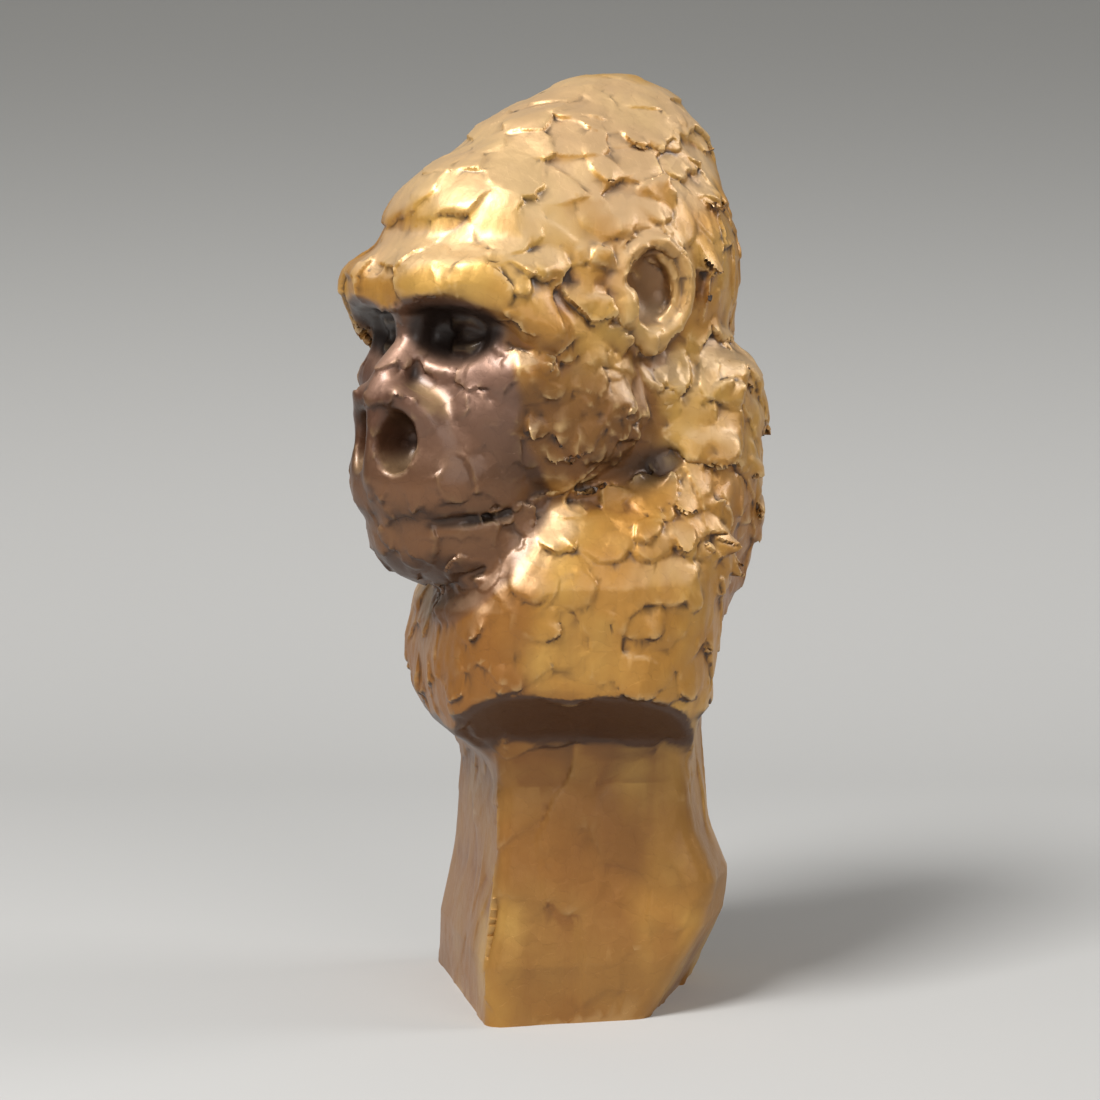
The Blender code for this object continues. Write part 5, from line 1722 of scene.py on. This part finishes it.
    def saw_flat(self, mesh: Mesh) -> None:
        """Saw the foot off flat at the ground."""
        work = bmesh.new()
        work.from_mesh(mesh)
        everything = work.verts[:] + work.edges[:] + work.faces[:]
        cut = bmesh.ops.bisect_plane(
            work, geom=everything, plane_co=(0, 0, 0), plane_no=(0, 0, -1), clear_outer=True)["geom_cut"]
        edges = [item for item in cut if isinstance(item, bmesh.types.BMEdge)]
        seat = bmesh.ops.contextual_create(work, geom=edges)["faces"]
        bmesh.ops.triangulate(work, faces=seat)
        work.to_mesh(mesh)
        work.free()

    def mark_tones(self, mesh: Mesh) -> None:
        """Write the tones of the patina: bare face and stains, painted shade in hollows and under overhangs,
        and painted highlights, which on raised edges also stand for wear.
        """
        zones = self.zones(mesh)
        up, drop = corners_of(mesh)[:, 2], self.clay.local(corners_of(mesh), Part.HEAD)[:, 2]
        fine = self.cavity(mesh, passes=4)
        fine -= self.calmed(mesh, fine[:, None], passes=25)[:, 0]
        jowl = zones.face * smooth_step(-24 * MM, -56 * MM, drop)
        set_attribute(mesh, "face_tone", zones.face * (1 - 0.5 * jowl))
        worked = zones.body * (1 - 0.6 * zones.forehead) + 0.7 * zones.column + 0.9 * zones.face
        set_attribute(mesh, "worked", np.clip(worked, 0, 1))
        tone = drift(corners_of(mesh), 34 * MM, 62)
        above_seat = smooth_step(10 * MM, 30 * MM, up)
        self.mark_hollow_shade(mesh, zones, fine, above_seat)
        self.mark_stains_and_shade(mesh, zones, tone, jowl, above_seat)
        self.mark_highlights_and_wear(mesh, zones, tone, fine)

    def mark_hollow_shade(self, mesh: Mesh, zones: Zones, fine: Array,
                     above_seat: Array) -> None:
        """Write the shade painted into the hollows: dark in fine and broad hollows, the eye sockets, the
        mouth line and the neck crease.

        Args:
            mesh: The cast.
            zones: The stretches of the bust.
            fine: How deep each corner lies below its close surroundings.
            above_seat: 1 above the sawn edge of the foot, which isn't a hollow.
        """
        broad = self.cavity(mesh, passes=60)
        quiet = (1 - 0.3 * zones.ear) * (1 - 0.7 * zones.column) * (1 - 0.5 * zones.face)
        # Painted shade in the fine hollows between the dabs, weaker on the ears, the column and the face.
        hollow = 0.9 * smooth_step(0.12 * MM, 0.5 * MM, fine) * quiet
        # Painted shade in the eye sockets, along the mouth line and in the neck crease.
        dark = np.maximum.reduce([0.93 * zones.socket, 0.9 * zones.lips, 0.75 * zones.crease])
        set_attribute(mesh, "hollow", np.maximum(hollow * above_seat, dark))
        # Painted shade in the broad hollows, weaker on the ears and the nose.
        deep = 0.85 * smooth_step(0.8 * MM, 3.2 * MM, broad) * (1 - 0.6 * zones.ear) * above_seat
        set_attribute(mesh, "deep", deep * (1 - 0.6 * zones.nose))

    def mark_stains_and_shade(self, mesh: Mesh, zones: Zones, tone: Array, jowl: Array,
                    above_seat: Array) -> None:
        """Write where the patina turns brown or rusty and darker on the lower face, and the shade painted
        under the shoulders, on downward faces and into the hollows.

        Args:
            mesh: The cast.
            zones: The stretches of the bust.
            tone: Broad drift that varies the patina from place to place.
            jowl: The lower face.
            above_seat: 1 above the sawn edge of the foot.
        """
        up, drop = corners_of(mesh)[:, 2], self.clay.local(corners_of(mesh), Part.HEAD)[:, 2]
        # Painted shade on the underside of the shoulders and on faces that look down, stronger in the face.
        band = zones.underside * smooth_step(90 * MM, 96 * MM, up)
        below = smooth_step(-0.25, -0.8, normals_of(mesh)[:, 2]) * smooth_step(40 * MM, 90 * MM, up)
        # Random brown tone on the column, and darker towards the chin and on the lower cheeks.
        column_stain_and_lower_face = zones.column * (0.1 + 0.25 * smooth_step(-0.3, 0.3, tone[:, 2])) + 0.4 * jowl
        column_stain_and_lower_face += 0.4 * zones.cheek * smooth_step(-4 * MM, -30 * MM, drop)
        brown = 0.9 * band + (0.5 + 0.35 * zones.face) * below + column_stain_and_lower_face
        set_attribute(mesh, "brown", np.clip(brown, 0, 1))
        rust_and_hollow_shade = smooth_step(0.0, 0.5, tone[:, 0] + 0.15) * smooth_step(230 * MM, 130 * MM, up)
        rust_and_hollow_shade *= 1 - 0.15 * zones.column
        rust_and_hollow_shade += jowl
        rust_and_hollow_shade += smooth_step(6 * MM, -24 * MM, drop) * zones.cheek
        # Painted shade in the hollows, in the orange brown.
        rust_and_hollow_shade += 1.1 * smooth_step(0.15 * MM, 1.1 * MM, self.cavity(mesh, passes=22)) * above_seat
        set_attribute(mesh, "rust_and_hollow_shade", np.clip(0.75 * rust_and_hollow_shade, 0, 0.85))

    def mark_highlights_and_wear(self, mesh: Mesh, zones: Zones, tone: Array, fine: Array) -> None:
        """Write the painted highlights: bright on raised edges, where it also stands for wear, pale pink on
        upward faces, gold on the nose and lighter mauve in the face.

        Args:
            mesh: The cast.
            zones: The stretches of the bust.
            tone: Broad drift that varies the patina from place to place.
            fine: How deep each corner lies below its close surroundings.
        """
        up, facing_up = corners_of(mesh)[:, 2], normals_of(mesh)[:, 2]
        # Painted highlight on raised edges, also standing for wear there, stronger higher up and weaker on
        # the face, the column and the forehead.
        bright = smooth_step(-0.5, 0.4, tone[:, 1]) * (1 - 0.85 * zones.face) * (1 - 0.4 * zones.column)
        bright *= (1 - 0.5 * zones.forehead) * (0.5 + 0.5 * smooth_step(150 * MM, 176 * MM, up))
        set_attribute(mesh, "edge", 0.7 * smooth_step(0.12 * MM, 0.5 * MM, -fine) * bright)
        # Painted highlight, pale pink, on faces that look up, in patches, and a little on the ears; none on
        # the column.
        above = zones.forehead * smooth_step(-0.2, 0.3, tone[:, 2])
        lit = smooth_step(0.1, 0.75, facing_up)
        pale = 0.15 * zones.ear + 0.8 * lit * smooth_step(-0.1, 0.4, tone[:, 1] + 0.3 * above)
        set_attribute(mesh, "pale", np.clip(pale * (1 - zones.column), 0, 0.5))
        # Painted highlight, gold, on the nose where it faces up, and on its raised edges, where it also
        # stands for rubbing.
        rubbed_and_lit = 0.7 * smooth_step(0.2, 0.8, facing_up) + 0.5 * smooth_step(0.1 * MM, 0.5 * MM, -fine)
        set_attribute(mesh, "nose_rub_and_highlight", np.clip(zones.nose * rubbed_and_lit, 0, 0.8))
        # The face turns lighter mauve in random mottles and, as a painted highlight, where it faces up.
        face_mottle_and_highlight = 0.45 * smooth_step(-0.3, 0.5, tone[:, 2]) + 0.7 * smooth_step(0.1, 0.7, facing_up)
        set_attribute(mesh, "face_mottle_and_highlight", np.clip(face_mottle_and_highlight, 0, 1))

    def calmed(self, mesh: Mesh, values: Array, passes: int) -> Array:
        """Values at the mesh's corners, evened out with their neighbours' again and again."""
        edges = np.empty(len(mesh.edges) * 2, int)
        mesh.edges.foreach_get("vertices", edges)
        starts, ends = edges.reshape(-1, 2).T
        count = np.maximum(np.bincount(edges, minlength=len(values)), 1)
        calm = values.copy()
        for _ in range(passes):
            for column in range(calm.shape[1]):
                total = np.bincount(starts, calm[ends, column], len(values))
                total += np.bincount(ends, calm[starts, column], len(values))
                calm[:, column] = total / count
        return calm

    def cavity(self, mesh: Mesh, passes: int) -> Array:
        """How deep each corner lies below its smoothed surroundings, in metres."""
        points = corners_of(mesh)
        return ((self.calmed(mesh, points, passes) - points) * normals_of(mesh)).sum(1)

    def make(self) -> bpy.types.Object:
        """Model, press, mark and patinate the cast."""
        finish = Patina().material()
        form = self.form()
        LOG.info("form has %d corners", len(form.vertices))
        self.mark_cover(form)
        skin = self.pressed(form, finish)
        LOG.info("covered skin has %d corners", len(skin.vertices))
        self.press_facets(skin)
        LOG.info("facets are pressed")
        cast = self.thinned(skin)
        self.saw_flat(cast)
        self.mark_tones(cast)
        cast.name = "cast_gorilla_bust"
        cast.materials.clear()
        cast.materials.append(finish)
        cast.shade_smooth()
        cast.set_sharp_from_angle(angle=self.sharp_from)
        cast_object = bpy.data.objects.new("cast_gorilla_bust", cast)
        bpy.context.scene.collection.objects.link(cast_object)
        return cast_object


@dataclass
class Studio:
    """A plain pale table and wall, soft light from above, and the photograph's point of view."""

    camera_azimuth: float = math.radians(47)
    camera_distance: float = 908 * MM
    camera_height: float = 230 * MM
    target_height: float = 155 * MM
    shift_right: float = -10 * MM
    picture_half: float = 191.7 * MM
    table_behind: float = 0.42
    table_before: float = 3.0
    cove_radius: float = 0.5
    wall_height: float = 3.0
    room_half_width: float = 4.0
    room_light: float = 0.24
    room_colour: Colour = (0.95, 0.93, 0.92, 1)
    table_colour: Colour = (0.5, 0.495, 0.48, 1)
    wall_colour: Colour = (0.19, 0.188, 0.178, 1)
    lamps: tuple[tuple[str, Triple, float, float], ...] = (
        ("key_light", (0.12, -1.05, 1.5), 0.6, 36),
        ("fill_light", (1.7, -0.5, 0.8), 0.9, 6),
        ("rim_light", (0.9, 1.2, 1.1), 0.6, 9),
    )

    def make(self) -> None:
        """Set up the table and its wall, the lamps, the world and the camera."""
        self.make_backdrop()
        self.make_camera()
        for lamp in self.lamps:
            self.make_lamp(*lamp)
        world = bpy.data.worlds.new("plain_room")
        bpy.context.scene.world = world
        world.use_nodes = True
        background = world.node_tree.nodes["Background"]
        background.inputs["Color"].default_value = self.room_colour
        background.inputs["Strength"].default_value = self.room_light
        bpy.context.scene.view_settings.view_transform = "Standard"

    def make_backdrop(self) -> None:
        """A pale table that curves up into a plain wall behind the bust."""
        turn = Matrix.Rotation(self.camera_azimuth, 4, "Z")
        profile = [(-self.table_before, 0.0)]
        for angle in np.radians(np.linspace(0, 90, 24)):
            profile.append((self.table_behind + self.cove_radius * math.sin(angle),
                            self.cove_radius * (1 - math.cos(angle))))
        profile.append((self.table_behind + self.cove_radius, self.wall_height))
        work = bmesh.new()
        sides = []
        for across in (-self.room_half_width, self.room_half_width):
            sides.append([work.verts.new(turn @ Vector((across, back, up))) for back, up in profile])
        left, right = sides
        for i in range(len(profile) - 1):
            work.faces.new((left[i], right[i], right[i + 1], left[i + 1]))
        mesh = bpy.data.meshes.new("backdrop")
        work.to_mesh(mesh)
        work.free()
        mesh.shade_smooth()
        mesh.materials.append(self.backdrop_material())
        backdrop = bpy.data.objects.new("backdrop", mesh)
        bpy.context.scene.collection.objects.link(backdrop)

    def backdrop_material(self) -> bpy.types.Material:
        """Matt paper, pale on the table and darker up the wall."""
        material = bpy.data.materials.new("pale_backdrop")
        material.use_nodes = True
        surface = material.node_tree.nodes["Principled BSDF"]
        tree = material.node_tree
        height = tree.nodes.new("ShaderNodeSeparateXYZ")
        tree.links.new(tree.nodes.new("ShaderNodeTexCoord").outputs["Object"], height.inputs[0])
        rise = tree.nodes.new("ShaderNodeMapRange")
        rise.interpolation_type = "SMOOTHSTEP"
        rise.inputs["From Max"].default_value = self.cove_radius
        tree.links.new(height.outputs["Z"], rise.inputs["Value"])
        colour = tree.nodes.new("ShaderNodeMix")
        colour.data_type = "RGBA"
        tree.links.new(rise.outputs[0], colour.inputs[0])
        colour.inputs[6].default_value = self.table_colour
        colour.inputs[7].default_value = self.wall_colour
        tree.links.new(colour.outputs[2], surface.inputs["Base Color"])
        surface.inputs["Roughness"].default_value = 0.85
        return material

    def make_camera(self) -> None:
        """The camera at the photograph's angle."""
        right = Vector((math.cos(self.camera_azimuth), math.sin(self.camera_azimuth), 0))
        away = Vector((math.sin(self.camera_azimuth), -math.cos(self.camera_azimuth), 0))
        place = away * self.camera_distance + right * self.shift_right + Vector((0, 0, self.camera_height))
        target = right * self.shift_right + Vector((0, 0, self.target_height))
        data = bpy.data.cameras.new("photo_view")
        data.sensor_width = 36
        data.lens = data.sensor_width / 2 * self.camera_distance / self.picture_half
        camera = bpy.data.objects.new("photo_view", data)
        aim = (target - place).to_track_quat("-Z", "Y").to_matrix().to_4x4()
        camera.matrix_world = Matrix.Translation(place) @ aim
        bpy.context.scene.collection.objects.link(camera)
        bpy.context.scene.camera = camera

    def make_lamp(self, name: str, place: Triple, size: float, power: float) -> None:
        """A soft square lamp that looks at the bust: its place, its side in metres and its watts."""
        data = bpy.data.lights.new(name, "AREA")
        data.size = size
        data.energy = power
        lamp = bpy.data.objects.new(name, data)
        target = Vector((0, 0, 160 * MM))
        aim = (target - Vector(place)).to_track_quat("-Z", "Y").to_matrix().to_4x4()
        lamp.matrix_world = Matrix.Translation(place) @ aim
        bpy.context.scene.collection.objects.link(lamp)


def main() -> None:
    """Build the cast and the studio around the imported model."""
    logging.basicConfig(level=logging.INFO)
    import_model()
    cast = Bust().make()
    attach(cast, "root")
    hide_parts("gorilla_bust")
    LOG.info("%s has %d faces", cast.name, len(cast.data.polygons))
    Studio().make()


if __name__ == "__main__":
    main()
